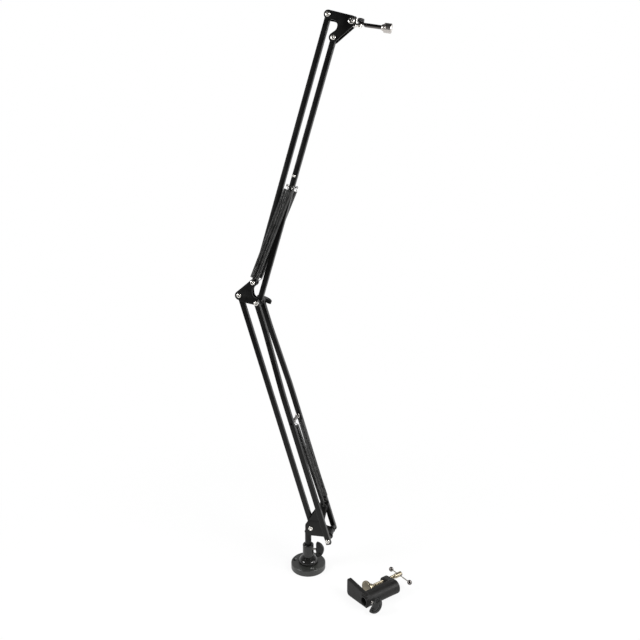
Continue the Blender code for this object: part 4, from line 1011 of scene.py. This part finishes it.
# %% Floor
FLOOR_HALF = 9.0
square_mesh = bpy.data.meshes.new("floor")
floor_corners = [(x * FLOOR_HALF, y * FLOOR_HALF, 0) for x, y in ((-1, -1), (1, -1), (1, 1), (-1, 1))]
square_mesh.from_pydata(floor_corners, [], [(0, 1, 2, 3)])
floor = put_in_scene("floor", square_mesh)
paper = bpy.data.materials.new("pale paper")
paper.use_nodes = True
tree = paper.node_tree
matt = tree.nodes["Principled BSDF"]
feed(tree, matt, {"Base Color": (0.86, 0.86, 0.855, 1), "Roughness": 0.9, "Specular IOR Level": 0.0})
spot = add(tree, "TexCoord", {}, "Object")
length = add(tree, "VectorMath", {0: spot}, "Value", operation="LENGTH")
fade = ranged(tree, length, 0.1, 0.75, 0.88, 1.0, curve="SMOOTHSTEP")
rays = add(tree, "LightPath", {}).node.outputs
seen = add(tree, "Math", {0: rays["Is Camera Ray"], 1: rays["Is Glossy Ray"]}, operation="MAXIMUM")
share = add(tree, "Math", {0: fade, 1: seen}, operation="MULTIPLY")
ahead = add(tree, "SeparateXYZ", {"Vector": spot}, "Y")
dim = ranged(tree, ahead, -1.5, -0.45, 0.08, 1.0, curve="SMOOTHSTEP")
level = add(tree, "Mix", {"Factor": rays["Is Glossy Ray"], "A": 1.0, "B": dim}, "Result")
glow = add(tree, "Emission", {"Color": (1, 1, 1, 1), "Strength": level})
paper_look = add(tree, "MixShader", {"Fac": share, 1: matt.outputs["BSDF"], 2: glow})
feed(tree, tree.nodes["Material Output"], {"Surface": paper_look})
floor.data.materials.append(paper)
print("floor", 2 * FLOOR_HALF, "m wide, with", len(tree.nodes), "nodes in its paper")

# %% Surround
world = bpy.data.worlds.new("studio")
bpy.context.scene.world = world
world.use_nodes = True
tree = world.node_tree
plain = tree.nodes["Background"]
feed(tree, plain, {"Color": (1, 1, 1, 1), "Strength": 0.5})
way = add(tree, "TexCoord", {}, "Generated")
split = add(tree, "SeparateXYZ", {"Vector": way}).node.outputs
behind = ranged(tree, split["Y"], -0.35, 0.2, 0.05, 1.0, curve="SMOOTHSTEP")
above = ranged(tree, split["Z"], 0.25, 0.8, 0.95, 0.08, curve="SMOOTHSTEP")
sky = add(tree, "Math", {0: behind, 1: above}, operation="MULTIPLY")
mirrored = add(tree, "Background", {"Color": (1, 1, 1, 1), "Strength": sky})
white = add(tree, "Background", {"Color": (1, 1, 1, 1)})
rays = add(tree, "LightPath", {}).node.outputs
glossy = add(tree, "Math", {0: rays["Is Glossy Ray"], 1: rays["Is Transmission Ray"]}, operation="MAXIMUM")
inner = add(tree, "MixShader", {"Fac": glossy, 1: plain.outputs["Background"], 2: mirrored})
outer = add(tree, "MixShader", {"Fac": rays["Is Camera Ray"], 1: inner, 2: white})
feed(tree, tree.nodes["World Output"], {"Surface": outer})
print("surround of", len(tree.nodes), "nodes")

# %% Lamps


def soft_box(name, spot, aim, wide, high, power):
    """Area lamp at a spot in metres, turned to face its aim."""
    lamp = bpy.data.lights.new(name, "AREA")
    lamp.shape = "RECTANGLE"
    lamp.size, lamp.size_y, lamp.energy = wide, high, power
    thing = put_in_scene(name, lamp)
    back = unit(np.subtract(spot, aim))
    thing.location = spot
    thing.rotation_euler = (math.acos(back[2]), 0, math.atan2(back[1], back[0]) + math.pi / 2)
    print(name, power, "W")


soft_box("left box", (-1.05, -0.75, 1.0), (0, 0, 0.2), 0.6, 0.5, 15)
soft_box("right box", (1.18, -0.5, 1.0), (0, 0, 0.2), 0.6, 0.5, 15)
soft_box("right strip", (1.5, 0.15, 0.9), (0, 0, 0.5), 0.25, 1.6, 7)

# %% Camera
lens = bpy.data.cameras.new("camera")
lens.lens, lens.sensor_width = 34.15, 36.0
camera = put_in_scene("camera", lens)
camera.location = (0.23995, -1.02191, 0.67785)
camera.rotation_euler = (math.radians(79.266), 0, math.radians(12))
bpy.context.scene.camera = camera
bpy.context.scene.view_settings.view_transform = "Standard"
print("camera", round(math.degrees(camera.rotation_euler.z), 1), "degrees to the right of the arm plane")
